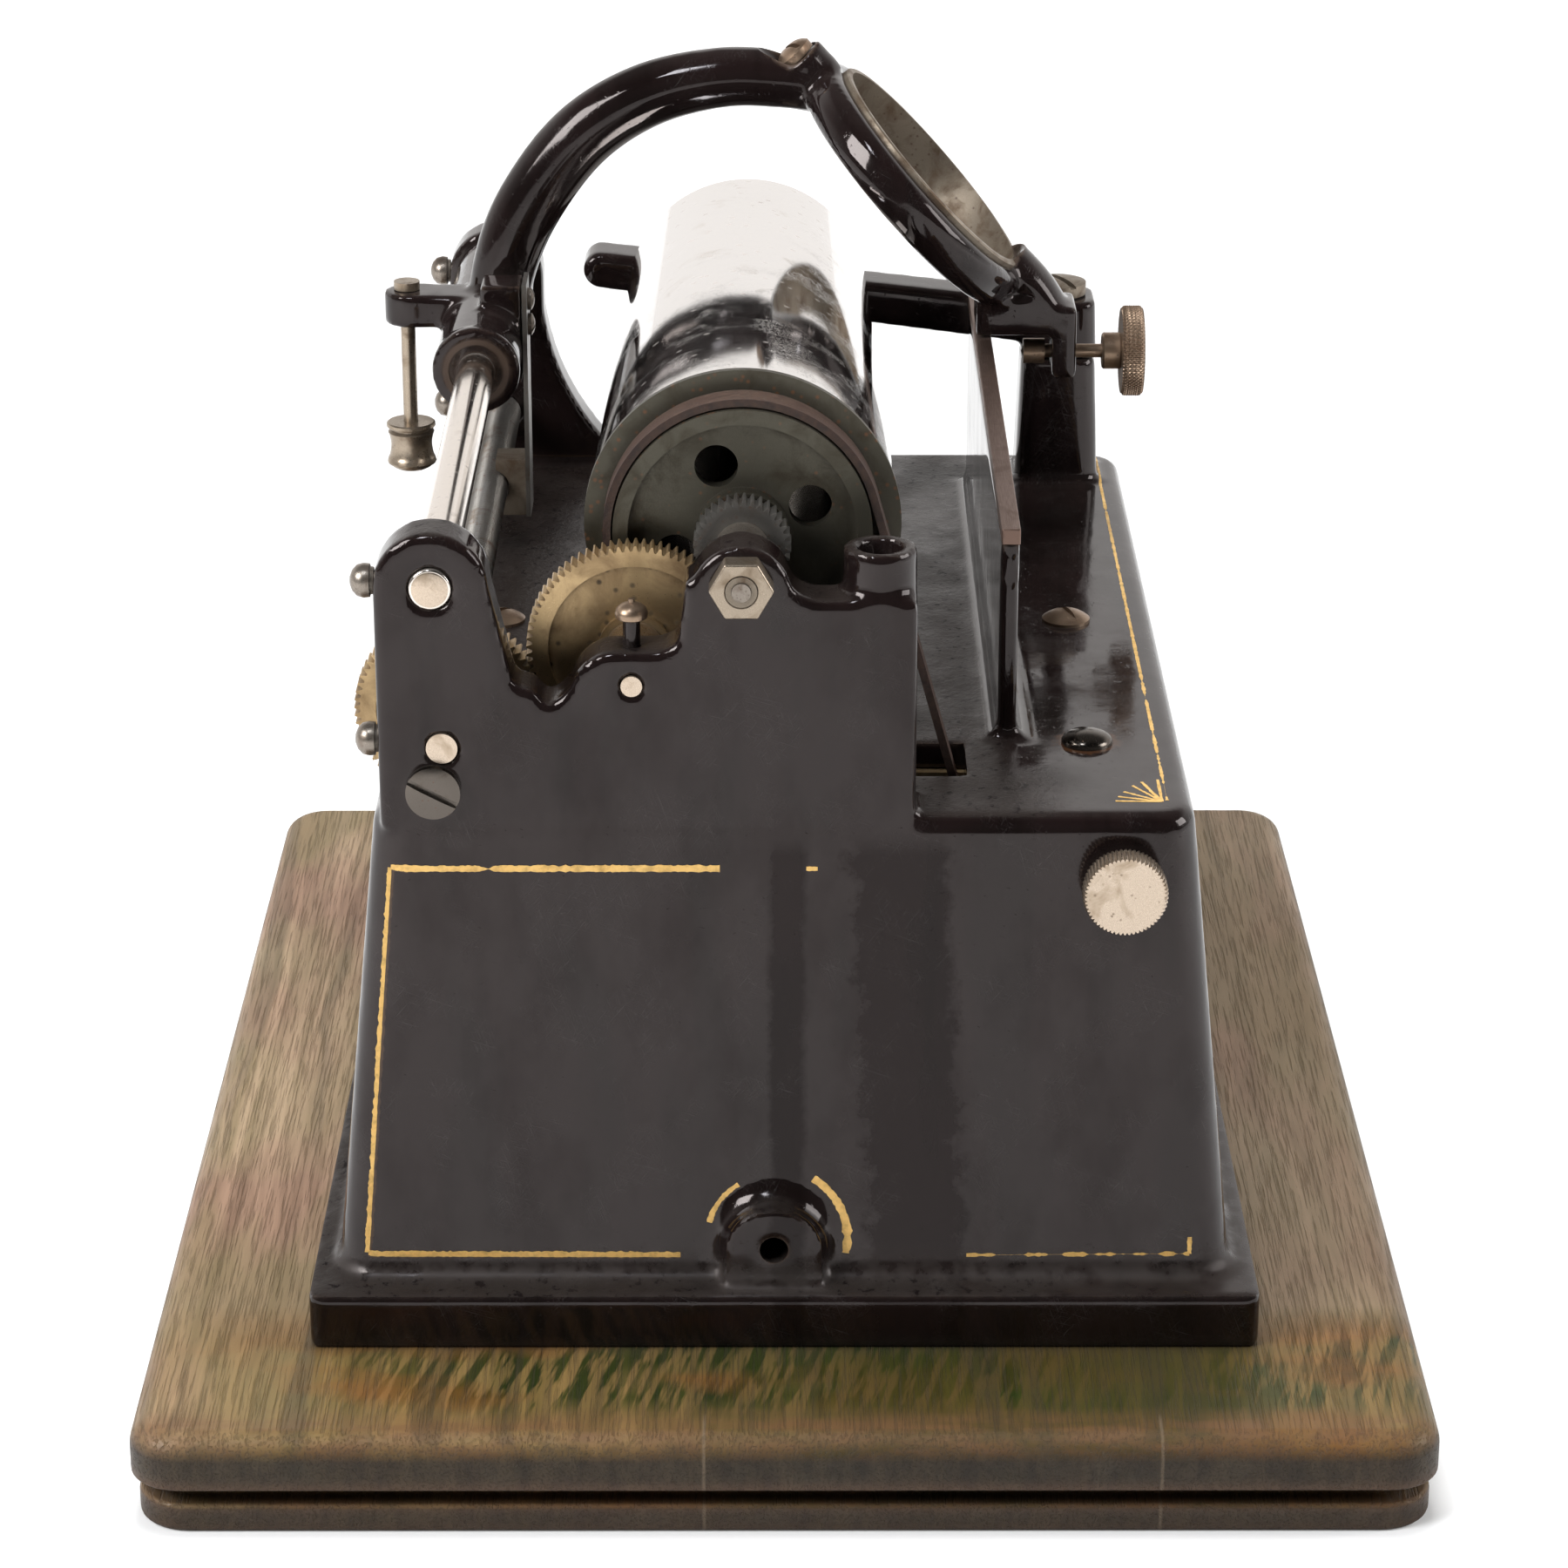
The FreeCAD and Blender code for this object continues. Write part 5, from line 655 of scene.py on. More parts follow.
def make_screw_tree():
    """Slotted screws with domed heads, one on each point, turned to the point's own direction."""
    (start, radius, height, dome, power, slot_width, slot_depth, shank_radius, shank_length, coat,
     gives) = new_tree("slotted_screws", ("Head Radius", "Head Height", "Dome", "Dome Power", "Slot Width",
                                          "Slot Depth", "Shank Radius", "Shank Length"))
    side = minus(height, dome)
    middle = times(side, 0.5)
    head = lifted(cylinder(radius, side, 40, 1, 6), middle)
    here = geo("InputPosition")
    share = over(length_of(stretched(here, FLAT)), radius)
    rise = times(dome, minus(1.0, calc("POWER", share, power)))
    top = calc("GREATER_THAN", split(here)[2], middle)
    domed = geo("SetPosition", {0: head, 1: top, 3: joined(z=rise)})
    slot_size = joined(times(radius, 3.0), slot_width, times(slot_depth, 2.0))
    slot = lifted(geo("MeshCube", {0: slot_size}), height)
    slotted = add("GeometryNodeMeshBoolean", {0: domed, 1: slot}, operation="DIFFERENCE", solver="EXACT")
    shank = lifted(cylinder(shank_radius, shank_length, 24), times(shank_length, -0.5))
    screw = both_of(slotted.outputs[0], shank)
    facing = geo("InputNamedAttribute", {0: "facing"}, data_type="FLOAT_VECTOR")
    slot_turn = geo("InputNamedAttribute", {0: "slot_turn"}, data_type="FLOAT")
    stood = add("FunctionNodeAlignRotationToVector", {2: facing}, axis="Z").outputs[0]
    spun = add("FunctionNodeAxisAngleToRotation", {0: ALONG_Z, 1: slot_turn}).outputs[0]
    turned = add("FunctionNodeRotateRotation", {0: stood, 1: spun}, rotation_space="LOCAL").outputs[0]
    placed = geo("InstanceOnPoints", {0: start, 2: screw, 5: turned})
    return close_tree(gives, placed, coat)


def make_knurl_tree():
    """A knurled rim: ridges round a disc, straight, or crossed where Slant isn't 0."""
    _, radius, width, ridges, depth, slant, rim, around, rows, coat, gives = new_tree(
        "knurled_rim", ("Radius", "Width", "Ridges", "Depth", "Slant", "Rim"), Around="Int", Rows="Int")
    disc = cylinder(radius, width, around, rows, 3)
    here = geo("InputPosition")
    x, y, z = split(here)
    wind = times(calc("ARCTAN2", y, x), times(ridges, 0.5))
    rise = times(z, slant)
    left, right = (calc("ABSOLUTE", calc("SINE", way(wind, rise))) for way in (plus, minus))
    groove = minus(1.0, least(left, right))
    to_face = minus(times(width, 0.5), calc("ABSOLUTE", z))
    rounded = times(rim, spread(to_face, rim, 0.0))
    drop = plus(times(groove, depth), rounded)
    outer = calc("GREATER_THAN", length_of(stretched(here, FLAT)), times(radius, 0.97))
    inward = vector_calc("NORMALIZE", stretched(here, (-1.0, -1.0, 0.0)))
    cut = geo("SetPosition", {0: disc, 1: outer, 3: scaled(inward, drop)})
    return close_tree(gives, cut, coat)


def make_thread_tree():
    """A screw's thread: a core and a ridge that winds along it."""
    _, radius, depth, pitch, long, coat, gives = new_tree(
        "wound_thread", ("Radius", "Depth", "Pitch", "Length"))
    ridge_radius = times(depth, 0.55)
    middle = minus(radius, ridge_radius)
    turns = over(long, pitch)
    path = geo("CurveSpiral", {0: 22, 1: turns, 2: middle, 3: middle, 4: long})
    upright = geo("SetCurveNormal", {0: path}, mode="Z_UP")
    ridge = geo("CurvePrimitiveCircle", {0: 4, 4: ridge_radius}, mode="RADIUS")
    wound = geo("CurveToMesh", {0: upright, 1: ridge, 3: True})
    core = lifted(cylinder(minus(radius, depth), long, 48), times(long, 0.5))
    return close_tree(gives, both_of(wound, core), coat)


def make_line_tree():
    """A painted line: it follows the drawn path on the surface behind it, with a ragged width and gaps."""
    start, width, thickness, wear, patch, seed, lift, towards, ground, coat, gives = new_tree(
        "painted_line", ("Width", "Thickness", "Wear", "Patch", "Seed", "Lift"),
        Towards="Vector", Ground="Object")
    drawn = geo("MeshToCurve", {0: start})
    fine = geo("ResampleCurve", {0: drawn, 3: LINE_STEP}, mode="LENGTH")
    here = geo("InputPosition")
    behind = add("GeometryNodeObjectInfo", {0: ground}).outputs["Geometry"]
    ray = add("GeometryNodeRaycast", {0: behind, 2: here, 3: towards, 4: RAY_REACH}).outputs
    touch = moved(ray["Hit Position"], scaled(towards, times(lift, -1.0)))
    laid = geo("SetPosition", {0: fine, 1: ray["Is Hit"], 2: touch})
    stood = geo("SetCurveNormal", {0: laid, 2: towards}, mode="FREE")
    worn = shade("TexNoise", {1: seed, 2: over(1.0, patch), 3: 3.0, 4: 0.6}, noise_dimensions="4D")
    ragged = shade("TexNoise", {1: seed, 2: 1.0 / BRISTLE, 3: 2.0}, noise_dimensions="4D")
    left = spread(worn, wear, plus(wear, 0.06), 0.04, 1.0)
    share = times(left, spread(ragged, 0.25, 0.7, 0.5, 1.15))
    brush = geo("CurvePrimitiveQuadrilateral", {0: thickness, 1: width})
    line = geo("CurveToMesh", {0: stood, 1: brush, 2: share, 3: True})
    return close_tree(gives, line, coat)


SCREWS = make_screw_tree()
KNURL = make_knurl_tree()
THREAD = make_thread_tree()
LINING = make_line_tree()


def grow(name, tree, start=None, **values):
    """Runs a geometry tree on a start mesh, or on none, and keeps the result as a plain mesh."""
    made = plain(name, start or bpy.data.meshes.new(name))
    run = made.modifiers.new("grow", "NODES")
    run.node_group = tree
    sockets = {s.name: s.identifier for s in tree.interface.items_tree if s.in_out == "INPUT"}
    for label, value in values.items():
        run[sockets[label.replace("_", " ")]] = value
    return settled(made)


def points(places):
    """Start points for screws: place, the way the head faces, and the slot's turn."""
    mesh = bpy.data.meshes.new("start_points")
    mesh.from_pydata([Vector(p) * MM for p, _, _ in places], [], [])
    mesh.attributes.new("facing", "FLOAT_VECTOR", "POINT")
    mesh.attributes.new("slot_turn", "FLOAT", "POINT")
    for i, (_, way, angle) in enumerate(places):
        mesh.attributes["facing"].data[i].vector = way
        mesh.attributes["slot_turn"].data[i].value = math.radians(angle)
    return mesh


def screws(name, node, places, coat, head, height, dome, power, slot, depth, shank, long):
    """Slotted screws that stand for a CAD node. Their head, slot and shank are in millimetres."""
    made = grow(name, SCREWS, points(places), Head_Radius=head * MM, Head_Height=height * MM, Dome=dome * MM,
                Dome_Power=power, Slot_Width=slot * MM, Slot_Depth=depth * MM, Shank_Radius=shank * MM,
                Shank_Length=long * MM, Finish=coat)
    return place_piece(made, BODY_OF[node], SLOT_OF[node], coat, node, crease=SCREW_CREASE)


def knurled(name, radius, width, ridges, depth, slant, rim, around, rows, coat):
    return grow(name, KNURL, Radius=radius * MM, Width=width * MM, Ridges=float(ridges), Depth=depth * MM,
                Slant=slant / MM, Rim=rim * MM, Around=around, Rows=rows, Finish=coat)


def welded(name, parts):
    """Several closed meshes as one piece."""
    work = bmesh.new()
    for part in parts:
        work.from_mesh(part.data)
        forget(part)
    return built(name, work)


# Castings and board

def melted(made, grid, rounds, share=1.0):
    """One skin over all the piece's shapes, smoothed for some rounds and then with fewer faces."""
    skin = made.modifiers.new("skin", "REMESH")
    skin.mode = "VOXEL"
    skin.voxel_size = grid * MM
    flow = made.modifiers.new("flow", "SMOOTH")
    flow.factor = MELT
    flow.iterations = rounds
    if share < 1.0:
        made.modifiers.new("fewer", "DECIMATE").ratio = share
    return settled(made)


def recast(name, nodes, grid, rounds, share, swellings=()):
    """A casting with the soft corners of poured and dipped iron: its CAD nodes with all edges melted."""
    work = bmesh.new()
    for node in nodes:
        work.from_mesh(NODES[node].data)
    for part in swellings:
        work.from_mesh(part.data)
        forget(part)
    bmesh.ops.remove_doubles(work, verts=work.verts, dist=WELD)
    return melted(built(name, work), grid, rounds, share)


def tube(name, path, sides=20):
    """A round bar along a path of (place, radius across, radius along X) in millimetres."""
    work = bmesh.new()
    rings = []
    for i, (place, across, deep) in enumerate(path):
        before = Vector(path[max(i - 1, 0)][0])
        after = Vector(path[min(i + 1, len(path) - 1)][0])
        run = (after - before).normalized()
        side = run.cross(Vector(ALONG_X)).normalized()
        ring = []
        for k in range(sides):
            angle = math.tau * k / sides
            spot = Vector(place) + side * across * math.cos(angle) + Vector(ALONG_X) * deep * math.sin(angle)
            ring.append(work.verts.new(spot * MM))
        rings.append(ring)
    for low, high in zip(rings, rings[1:]):
        for k in range(sides):
            work.faces.new((low[k - 1], low[k], high[k], high[k - 1]))
    work.faces.new(rings[0])
    work.faces.new(rings[-1])
    bmesh.ops.recalc_face_normals(work, faces=work.faces)
    return built(name, work)


def curve_through(knots, steps=8):
    """Smooth points through knots of (place, across, deep)."""
    rows = [Vector((*place, across, deep)) for place, across, deep in knots]
    rows = [2 * rows[0] - rows[1]] + rows + [2 * rows[-1] - rows[-2]]
    found = []
    for a, b, c, d in zip(rows, rows[1:], rows[2:], rows[3:]):
        for k in range(steps):
            t = k / steps
            found.append(0.5 * (2 * b + (c - a) * t + (2 * a - 5 * b + 4 * c - d) * t * t
                                + (3 * b - a - 3 * c + d) * t ** 3))
    found.append(rows[-2])
    return [(Vector(v[:3]), v[3], v[4]) for v in found]


def block(name, low, high):
    work = bmesh.new()
    bmesh.ops.create_cube(work, size=1.0)
    middle = (Vector(low) + Vector(high)) / 2 * MM
    size = (Vector(high) - Vector(low)) * MM
    bmesh.ops.scale(work, vec=size, verts=work.verts)
    bmesh.ops.translate(work, vec=middle, verts=work.verts)
    return built(name, work)


def rod_shape(name, radius, start, end, middle, axis):
    return lathe(name, [(start, 0.0), (start, radius), (end, radius), (end, 0.0)], middle, axis, 48)


def ring_point(back, up):
    """A place so far up the ring's slope from its middle, and so far out along its axis."""
    x, y, z = RING_MIDDLE
    lean, climb = math.cos(RING_TILT), math.sin(RING_TILT)
    return x, y + back * lean - up * climb, z + back * climb + up * lean


def carve(made, cutter):
    """Cuts one closed shape out of a piece."""
    cut = made.modifiers.new("cut", "BOOLEAN")
    cut.object = cutter
    cut.solver = "EXACT"
    settled(made)
    forget(cutter)


CASTING = [node for node in NODES if node.startswith("casting_")]
lug_foot = lathe("lug_foot", [(-95.2, 0.0), (-95.2, 6.4), (-94.4, 7.2), (-93.2, 7.7), (-92.0, 8.2),
                              (-90.9, 9.2), (-86.0, 9.4), (-86.0, 0.0)], (0.0, LUG[0], 30.4), ALONG_X, 64)
body = recast("body_casting", CASTING, 0.8, 5, 0.25, [lug_foot])
bores = [rod_shape(name, radius, first, last, (0, *at), ALONG_X) for name, radius, first, last, at in (
    ("rod_bore", 3.2, -86.0, 98.0, ROD), ("near_pivot_bore", 2.4, -86.0, -74.0, FEED),
    ("far_pivot_bore", 2.4, 87.0, 98.0, FEED), ("idler_bore", 1.65, -86.0, -74.0, IDLER),
    ("bush_bore", 2.4, -86.0, -74.0, MANDREL))]
carve(body, welded("body_bores", bores + [
    rod_shape("socket_bore", 3.3, 117.5, 141.0, (-78.5, -14.2, 0), ALONG_Z),
    rod_shape("lug_bore", 2.2, -100.0, -82.0, (0, *LUG), ALONG_X),
    block("belt_slot", (-67.2, -28.0, 92.0), (-53.7, 19.0, 100.6)),
]))
place_piece(body, "base", "black_lacquer", LACQUER, *CASTING, crease=CASTING_CREASE)

gate = recast("gate_casting", ["gate_arm"], 0.55, 12, 0.6)
carve(gate, rod_shape("gate_pin_bore", 2.3, 120.0, 134.0, (*GATE_PIN, 0), ALONG_Z))
place_piece(gate, "gate", "black_lacquer", LACQUER, "gate_arm", crease=CASTING_CREASE)

eased("plinth_board", 0.4)
eased("plinth_frame", 0.8)
eased("straight_edge_strip", 0.25, STRIP_STEEL)
eased("bearing_locknut", 0.3, AGED_NICKEL)
eased("back_rod", 0.4, ROD_STEEL)
rod_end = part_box("back_rod")[0].x / MM
rod_face = lathe("back_rod_face", [(-0.12, 0.0), (-0.12, 2.5), (-0.05, 2.72), (0.2, 2.72), (0.2, 0.0)],
                 (rod_end, *ROD), ALONG_X, 48)
place_piece(rod_face, "base", SLOT_OF["back_rod"], KNOB_NICKEL)


def carriage():
    """The carriage casting: sleeve, round arch, tilted ring, boss, ear and front lug in one iron."""
    arch = curve_through([((RING_MIDDLE[0], back, height), across, deep) for back, height, across, deep in (
        (50.5, 133.0, 5.2, 5.0), (48.6, 145.0, 5.6, 5.2), (44.2, 156.0, 5.9, 5.3), (35.2, 168.0, 5.9, 5.3),
        (23.8, 175.4, 5.6, 5.2), (11.0, 178.6, 5.2, 5.0), (0.0, 178.4, 5.0, 5.0), (-8.0, 177.2, 5.0, 5.0))])
    ring_profile = [(-8.0, 20.0), (-0.6, 20.0), (-0.1, 22.6), (-0.6, 24.6), (-2.2, 25.5), (-5.6, 25.5),
                    (-7.4, 24.5), (-8.0, 22.8)]
    sleeve_foot = (SLEEVE_START, *ROD)
    clamp_foot = ring_point(0, CLAMP_FOOT)
    cast = melted(welded("carriage_casting_round", [
        rod_shape("sleeve", 7.25, 0.0, 59.5, sleeve_foot, ALONG_X),
        lathe("near_collar", [(0, 0), (0, 7.5), (2.0, 7.5), (2.6, 7.2), (2.6, 0)], sleeve_foot, ALONG_X, 48),
        tube("arch", arch),
        lathe("ring", ring_profile, RING_MIDDLE, RING_AXIS, 96),
        rod_shape("clamp_boss", 4.6, 23.5, 29.8, clamp_foot, RING_SLOPE),
        block("lug_bridge", (49.3, -46.0, 134.5), (60.7, -33.5, 141.0)),
        block("lug_leg", (49.3, -51.0, 126.9), (60.7, -46.8, 139.5)),
        tube("lug_neck", curve_through([((LIFTING_X, -49.0, 136.0), 2.3, 5.7),
                                        ((LIFTING_X, -44.0, 142.0), 3.4, 5.7),
                                        ((LIFTING_X + 0.5, -38.0, 147.0), 4.4, 5.7)])),
        block("ear_arm", (50.2, 52.0, 135.7), (59.8, 64.6, 141.3)),
        rod_shape("ear_end", 4.9, 0.1, 5.9, (55, 64.6, 135.5), ALONG_Z),
        block("leaf_pad", (40.7, 45.0, 128.7), (49.3, 52.0, 145.8)),
    ]), 0.55, 9)
    opening = [(-14.0, 0.0), (-14.0, 21.3), (6.0, 21.3), (6.0, 0.0)]
    carve(cast, lathe("ring_opening", opening, RING_MIDDLE, RING_AXIS, 128))
    carve(cast, rod_shape("rod_opening", 4.66, -1.0, 61.0, sleeve_foot, ALONG_X))
    carve(cast, rod_shape("screw_seat", 4.0, 29.4, 36.0, clamp_foot, RING_SLOPE))
    carve(cast, rod_shape("lift_hole", 1.25, -56.0, -40.0, (LIFTING_X, 0, LIFTING_Z), ALONG_Y))
    place_piece(cast, "carriage", "black_lacquer", LACQUER, "carriage_casting", crease=CASTING_CREASE)
    lining = [(-7.9, 21.0), (0.8, 21.0), (0.8, 21.9), (0.55, 22.2), (-0.6, 22.2), (-0.8, 21.45),
              (-7.9, 21.45)]
    lip = lathe("ring_bore_lining", lining, RING_MIDDLE, RING_AXIS, 128)
    place_piece(lip, "carriage", "dark_steel", BARE_IRON)


carriage()


# Screws, knobs and thread

def slotted_screws():
    """The slotted screws, and the deck's near screw, a blued dome without a slot."""
    screws("deck_screws_slotted", "deck_screws",
           [((x, y, DECK), ALONG_Z, turn)
            for x, y, turn in ((3.2, -47.2, 20), (-53.5, 47.2, 65), (3.2, 47.2, 140))],
           OLD_BRASS, 4.0, 2.0, 1.5, 2.2, 1.1, 0.8, 1.2, 13.0)
    near_screw = [(-13.0, 0.0), (-13.0, 1.2), (0.0, 1.2), (0.0, 4.0), (0.45, 4.0), (1.0, 3.7), (1.5, 2.9),
                  (1.85, 1.7), (2.0, 0.6), (2.0, 0.0)]
    blued = lathe("deck_screw_blued", near_screw, (*DECK_SCREW, DECK), ALONG_Z, 48)
    place_piece(blued, "base", "dark_steel", BLUED_STEEL)
    screws("pivot_clamp_screw_slotted", "pivot_clamp_screw", [((END_WALL, 52.4, 102.9), (-1, 0, 0), 62)],
           BLUED_STEEL, 4.1, 1.9, 0.35, 3.0, 1.0, 0.9, 1.6, 8.0)
    screws("ring_clamp_screw_slotted", "ring_clamp_screw", [(ring_point(29.8, CLAMP_FOOT), RING_SLOPE, 35)],
           OLD_BRASS, 3.4, 2.6, 1.3, 3.0, 0.9, 1.0, 1.5, 8.0)
    screws("gate_pivot_screw_slotted", "gate_pivot_screw", [((*GATE_PIN, 132.5), ALONG_Z, 30)],
           BARE_IRON, 5.0, 2.8, 0.7, 2.6, 1.2, 1.1, 2.0, 12.0)
    screws("leaf_screws_slotted", "leaf_screws",
           [((45.0, 44.0, height), (0, -1, 0), turn) for height, turn in ((138.0, 25), (142.5, 100))],
           SCREW_STEEL, 1.9, 1.2, 0.6, 2.2, 0.5, 0.6, 0.9, 5.0)


def rounded_screws():
    """Screws with plain round heads: the four in the bearings' backs, and the one over the idler."""
    head = [(-3.0, 0.0), (-3.0, 1.3), (0.0, 1.3), (0.0, 2.0), (0.5, 2.1), (0.6, 2.5), (1.5, 2.6),
            (2.5, 2.35), (3.2, 1.6), (3.55, 0.7), (3.6, 0.0)]
    made = welded("bearing_set_screws_round", [lathe("set_screw", head, (x, 60.6, height), ALONG_Y, 40)
                                               for x in (-80.0, 92.75) for height in (ROD[1], FEED[1])])
    place_piece(made, "base", "dark_steel", SCREW_STEEL, "bearing_set_screws", crease=SCREW_CREASE)
    neck = rod_shape("stud_clamp_neck", 1.3, -5.0, 3.95, STUD_CLAMP, ALONG_Z)
    place_piece(neck, "base", "dark_steel", LACQUER)
    mushroom = [(3.9, 0.0), (3.9, 2.0), (4.15, 2.4), (4.8, 2.5), (5.5, 2.25), (6.1, 1.6), (6.4, 0.8),
                (6.5, 0.5), (7.0, 0.45), (7.0, 0.0)]
    place_piece(lathe("stud_clamp_screw_round", mushroom, STUD_CLAMP, ALONG_Z, 40), "base", "dark_steel",
                OLD_BRASS, "stud_clamp_screw")


def knobs():
    """The knurled speed knob and lifting screw, and the waisted knob that hangs at the back."""
    speed = turned_to(knurled("speed_knob_knurled", 6.4, 4.0, 58, 0.42, 0.0, 0.25, 464, 8, KNOB_NICKEL),
                      SPEED_KNOB, ALONG_X)
    place_piece(speed, "speed", "nickel", KNOB_NICKEL, "speed_knob", crease=KNURL_CREASE)
    head = turned_to(knurled("lifting_head", 7.9, 3.8, 66, 0.34, 4.2, 0.5, 396, 26, OLD_BRASS),
                     (LIFTING_X, -61.0, LIFTING_Z), ALONG_Y)
    stem = lathe("lifting_stem", [(0.0, 0.0), (0.0, 3.0), (0.3, 3.2), (3.0, 3.2), (3.3, 2.9), (3.3, 1.2),
                                  (13.4, 1.2), (13.4, 2.2), (17.1, 2.2), (17.1, 1.1), (17.5, 0.0)],
                 (LIFTING_X, -59.1, LIFTING_Z), ALONG_Y, 40)
    lifting = welded("lifting_screw_knurled", [head, stem])
    place_piece(lifting, "lifting", "nickel", OLD_BRASS, "lifting_screw", crease=KNURL_CREASE)
    waist = curve_through([((0, 0, height), radius, radius) for height, radius in (
        (1.9, 4.15), (2.6, 3.85), (3.7, 3.65), (4.8, 3.6), (5.9, 3.8), (6.7, 4.05))], 5)
    outline = [(0.0, 0.0), (0.0, 2.6), (0.5, 3.5), (0.95, 3.8), (1.0, 4.15), (1.3, 4.3)]
    outline += [(place.z, radius) for place, radius, _ in waist]
    outline += [(7.05, 3.35), (7.5, 3.35), (7.55, 4.1), (7.8, 4.3), (8.3, 4.25), (8.5, 4.0), (8.5, 0.0)]
    hanging = lathe("hanging_knob_turned", outline, HANGING_KNOB, ALONG_Z, 72)
    place_piece(hanging, "hanging", "nickel", AGED_NICKEL, "hanging_knob")


def threaded_feed():
    """The feed screw with its thread, from just inside the CAD screw's near end."""
    steel = FINISHES["dark_steel"]
    made = grow("feed_screw_threaded", THREAD, Radius=3.0 * MM, Depth=0.32 * MM, Pitch=0.9 * MM,
                Length=157.0 * MM, Finish=steel)
    near_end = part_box("feed_screw")[0].x / MM
    turned_to(made, (near_end + 1.0, *FEED), ALONG_X)
    place_piece(made, "feed", "dark_steel", steel, "feed_screw", crease=THREAD_CREASE)


slotted_screws()
rounded_screws()
knobs()
threaded_feed()


# Gold lines

def polyline(places):
    mesh = bpy.data.meshes.new("drawn")
    mesh.from_pydata([Vector(p) * MM for p in places], [(i, i + 1) for i in range(len(places) - 1)], [])
    return mesh


def gold_line(name, places, towards, wear, seed, width=1.25):
    ground = bpy.data.objects["body_casting"]
    made = grow(name, LINING, polyline(places), Width=width * MM, Thickness=0.08 * MM, Wear=wear,
                Patch=7.0 * MM, Seed=seed, Lift=0.01 * MM, Towards=towards, Ground=ground, Finish=GOLD)
    return place_piece(made, "base", "brass", GOLD, crease=TURNED_CREASE)


def lug_arc(radius, first, last):
    """Places round the lug from one angle to another, in degrees from the +Y side over its top."""
    turns = [math.radians(first + (last - first) * k / 12) for k in range(13)]
    return [(LUG[0] + radius * math.cos(turn), LUG[1] + radius * math.sin(turn)) for turn in turns]


# Lines on the near wall as (y, z) places, drawn in front of it and pressed onto it.
for name, places, *look in (
        ("gold_line_top", [(59.1, 90.5), (9.7, 90.5)], 0.33, 1.0),
        ("gold_dash_top", [(-3.3, 90.5), (-5.0, 90.5)], 0.2, 2.0, 0.7),
        ("gold_line_left", [(59.1, 90.5), (61.6, 60.0), (64.0, 29.0)], 0.3, 3.0),
        ("gold_line_foot", [(64.0, 28.8), (16.0, 28.6)], 0.28, 4.0),
        ("gold_line_foot_right", [(-28.0, 28.6), (-62.3, 28.8)], 0.48, 5.0, 0.9),
        ("gold_arc_left", lug_arc(10.2, 14.0, 58.0), 0.3, 6.0, 1.0),
        ("gold_arc_right", lug_arc(11.3, 122.0, 193.0), 0.22, 7.0, 1.5),
        ("gold_tick_foot", [(-62.3, 28.8), (-62.3, 31.5)], 0.2, 9.0, 0.8)):
    gold_line(name, [(BEFORE_WALL, y, z) for y, z in places], (1.0, 0.0, 0.0), *look)
# Lines on the deck as (x, y) places: one along its edge, and a spray at its near corner.
SPRAY_ENDS = ((-78.3, -50.0), (-76.5, -50.5), (-74.5, -51.5), (-72.0, -53.0), (-70.5, -54.5), (-74.0, -55.5),
              (-69.5, -57.0))
for name, places, *look in (
        ("gold_line_deck", [(-78, -57.8), (93, -57.8)], 0.38, 8.0, 0.62),
        *(("gold_spray_%d" % number, [(-78.5, -57.0), end], 0.34, 20.0 + number, 0.55)
          for number, end in enumerate(SPRAY_ENDS))):
    gold_line(name, [(x, y, OVER_DECK) for x, y in places], (0.0, 0.0, -1.0), *look)


# Floor, light and camera

def floor():
    """White paper that glows a little to the camera, and fully far away, so that it meets the sky."""
    work = bmesh.new()
    bmesh.ops.create_grid(work, x_segments=1, y_segments=1, size=12.0)
    made = built("studio_floor", work)
    material, shader = start_finish("studio_paper")
    Sheet.tree.nodes.remove(shader)
    paper = shade("BsdfDiffuse", {0: (0.8, 0.8, 0.8, 1.0)})
    far = spread(length_of(in_mm()), 260.0, 1100.0)
    ray = add("ShaderNodeLightPath").outputs
    strength = most(far, times(ray["Is Camera Ray"], FLOOR_GLOW))
    glow = shade("Emission", {0: (*WHITE, 1.0), 1: strength})
    both = shade("AddShader", {0: paper, 1: glow})
    seen = most(ray["Is Camera Ray"], ray["Is Glossy Ray"])
    mixed = shade("MixShader", {0: seen, 1: paper, 2: both})
    link(mixed, Sheet.tree.nodes["Material Output"].inputs[0])
    made.data.materials.append(material)


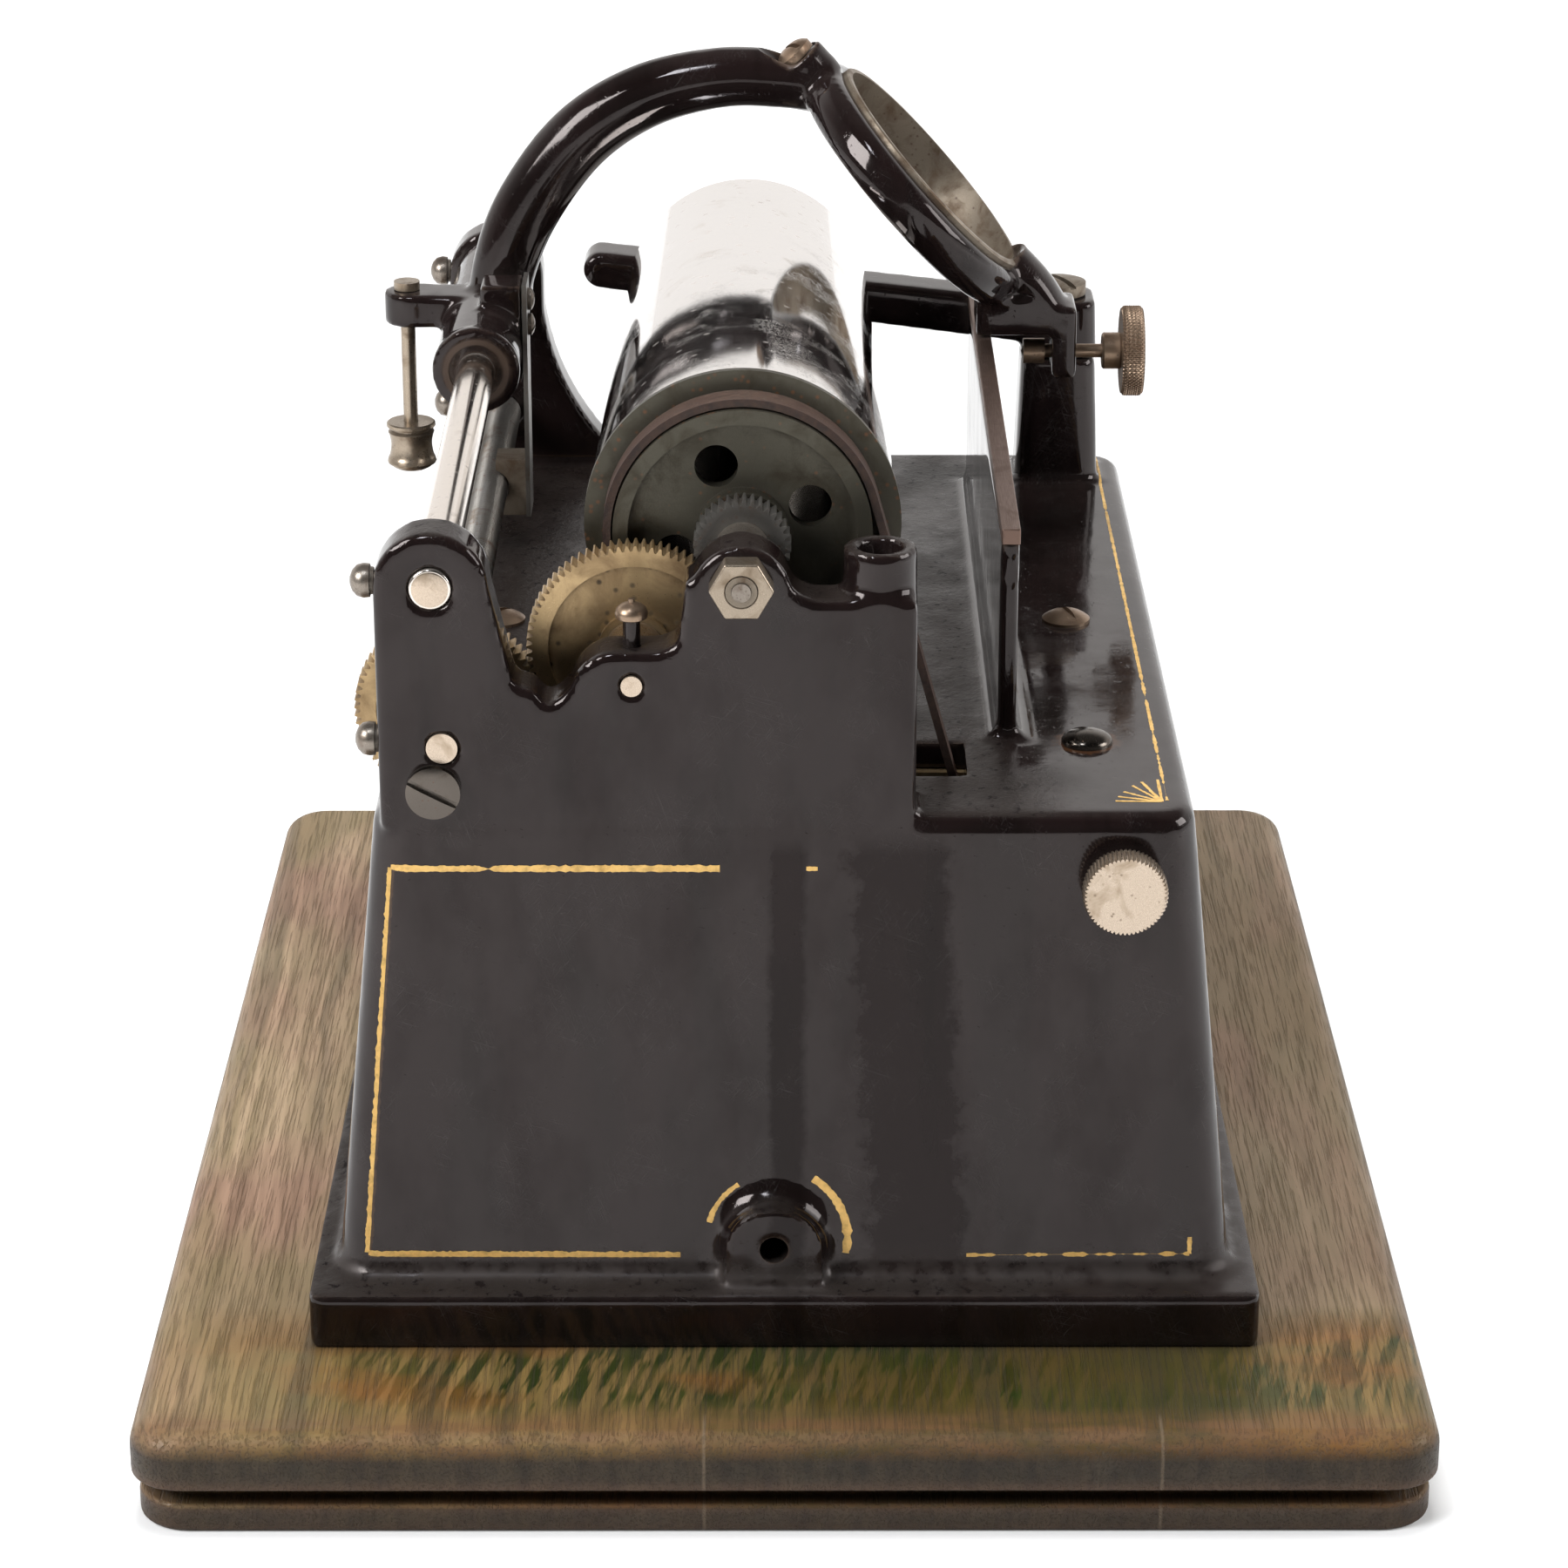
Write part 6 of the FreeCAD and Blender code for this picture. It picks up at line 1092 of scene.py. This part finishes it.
def sky():
    """A studio: bright low down behind the object, dim overhead and behind the camera, white where seen."""
    world = bpy.data.worlds.new("studio")
    bpy.context.scene.world = world
    world.use_nodes = True
    Sheet.tree = world.node_tree
    Sheet.tree.nodes.remove(Sheet.tree.nodes["Background"])
    way = split(add("ShaderNodeTexCoord").outputs["Generated"])
    ahead = spread(way[0], -0.45, 0.45, 0.07, 1.0)
    low = spread(way[2], 0.7, 0.45, 0.14, 1.0)
    light = shade("Background", {0: (1.0, 0.975, 0.955, 1.0), 1: times(ahead, low)})
    white = shade("Background", {0: (*WHITE, 1.0), 1: 1.0})
    seen = add("ShaderNodeLightPath").outputs["Is Camera Ray"]
    mixed = shade("MixShader", {0: seen, 1: light, 2: white})
    link(mixed, Sheet.tree.nodes["World Output"].inputs[0])


def softbox(name, place, aim, size, power, colour=WHITE, mirrored=True):
    light = bpy.data.lights.new(name, "AREA")
    light.shape = "RECTANGLE"
    light.size, light.size_y = size[0] * MM, size[1] * MM
    light.energy = power
    light.color = colour
    made = plain(name, light)
    made.visible_glossy = mirrored
    made.location = Vector(place) * MM
    made.rotation_euler = (Vector(aim) - Vector(place)).to_track_quat("-Z", "Y").to_euler()


floor()
sky()
softbox("top_light", (60, 0, 950), (0, 0, 60), (420, 420), 8.0, mirrored=False)
softbox("window_light", (-330, 170, 760), (40, 0, 150), (90, 150), 0.9, (0.86, 0.92, 1.0))
softbox("left_light", (-420, 620, 620), (0, 0, 80), (380, 380), 7.0)
softbox("right_light", (-150, -800, 420), (0, 0, 80), (420, 420), 3.5)

eye = bpy.data.cameras.new("photo_camera")
eye.lens = LENS
eye.sensor_width = 36.0
eye.clip_start = 0.05
eye.clip_end = 50.0
camera = plain("photo_camera", eye)
camera.location = Vector(CAMERA_PLACE) * MM
dip, yaw = math.radians(CAMERA_DIP), math.radians(CAMERA_YAW)
sight = Vector((math.cos(dip) * math.cos(yaw), math.cos(dip) * math.sin(yaw), -math.sin(dip)))
camera.rotation_euler = sight.to_track_quat("-Z", "Y").to_euler()
bpy.context.scene.camera = camera
bpy.context.scene.view_settings.view_transform = "Standard"
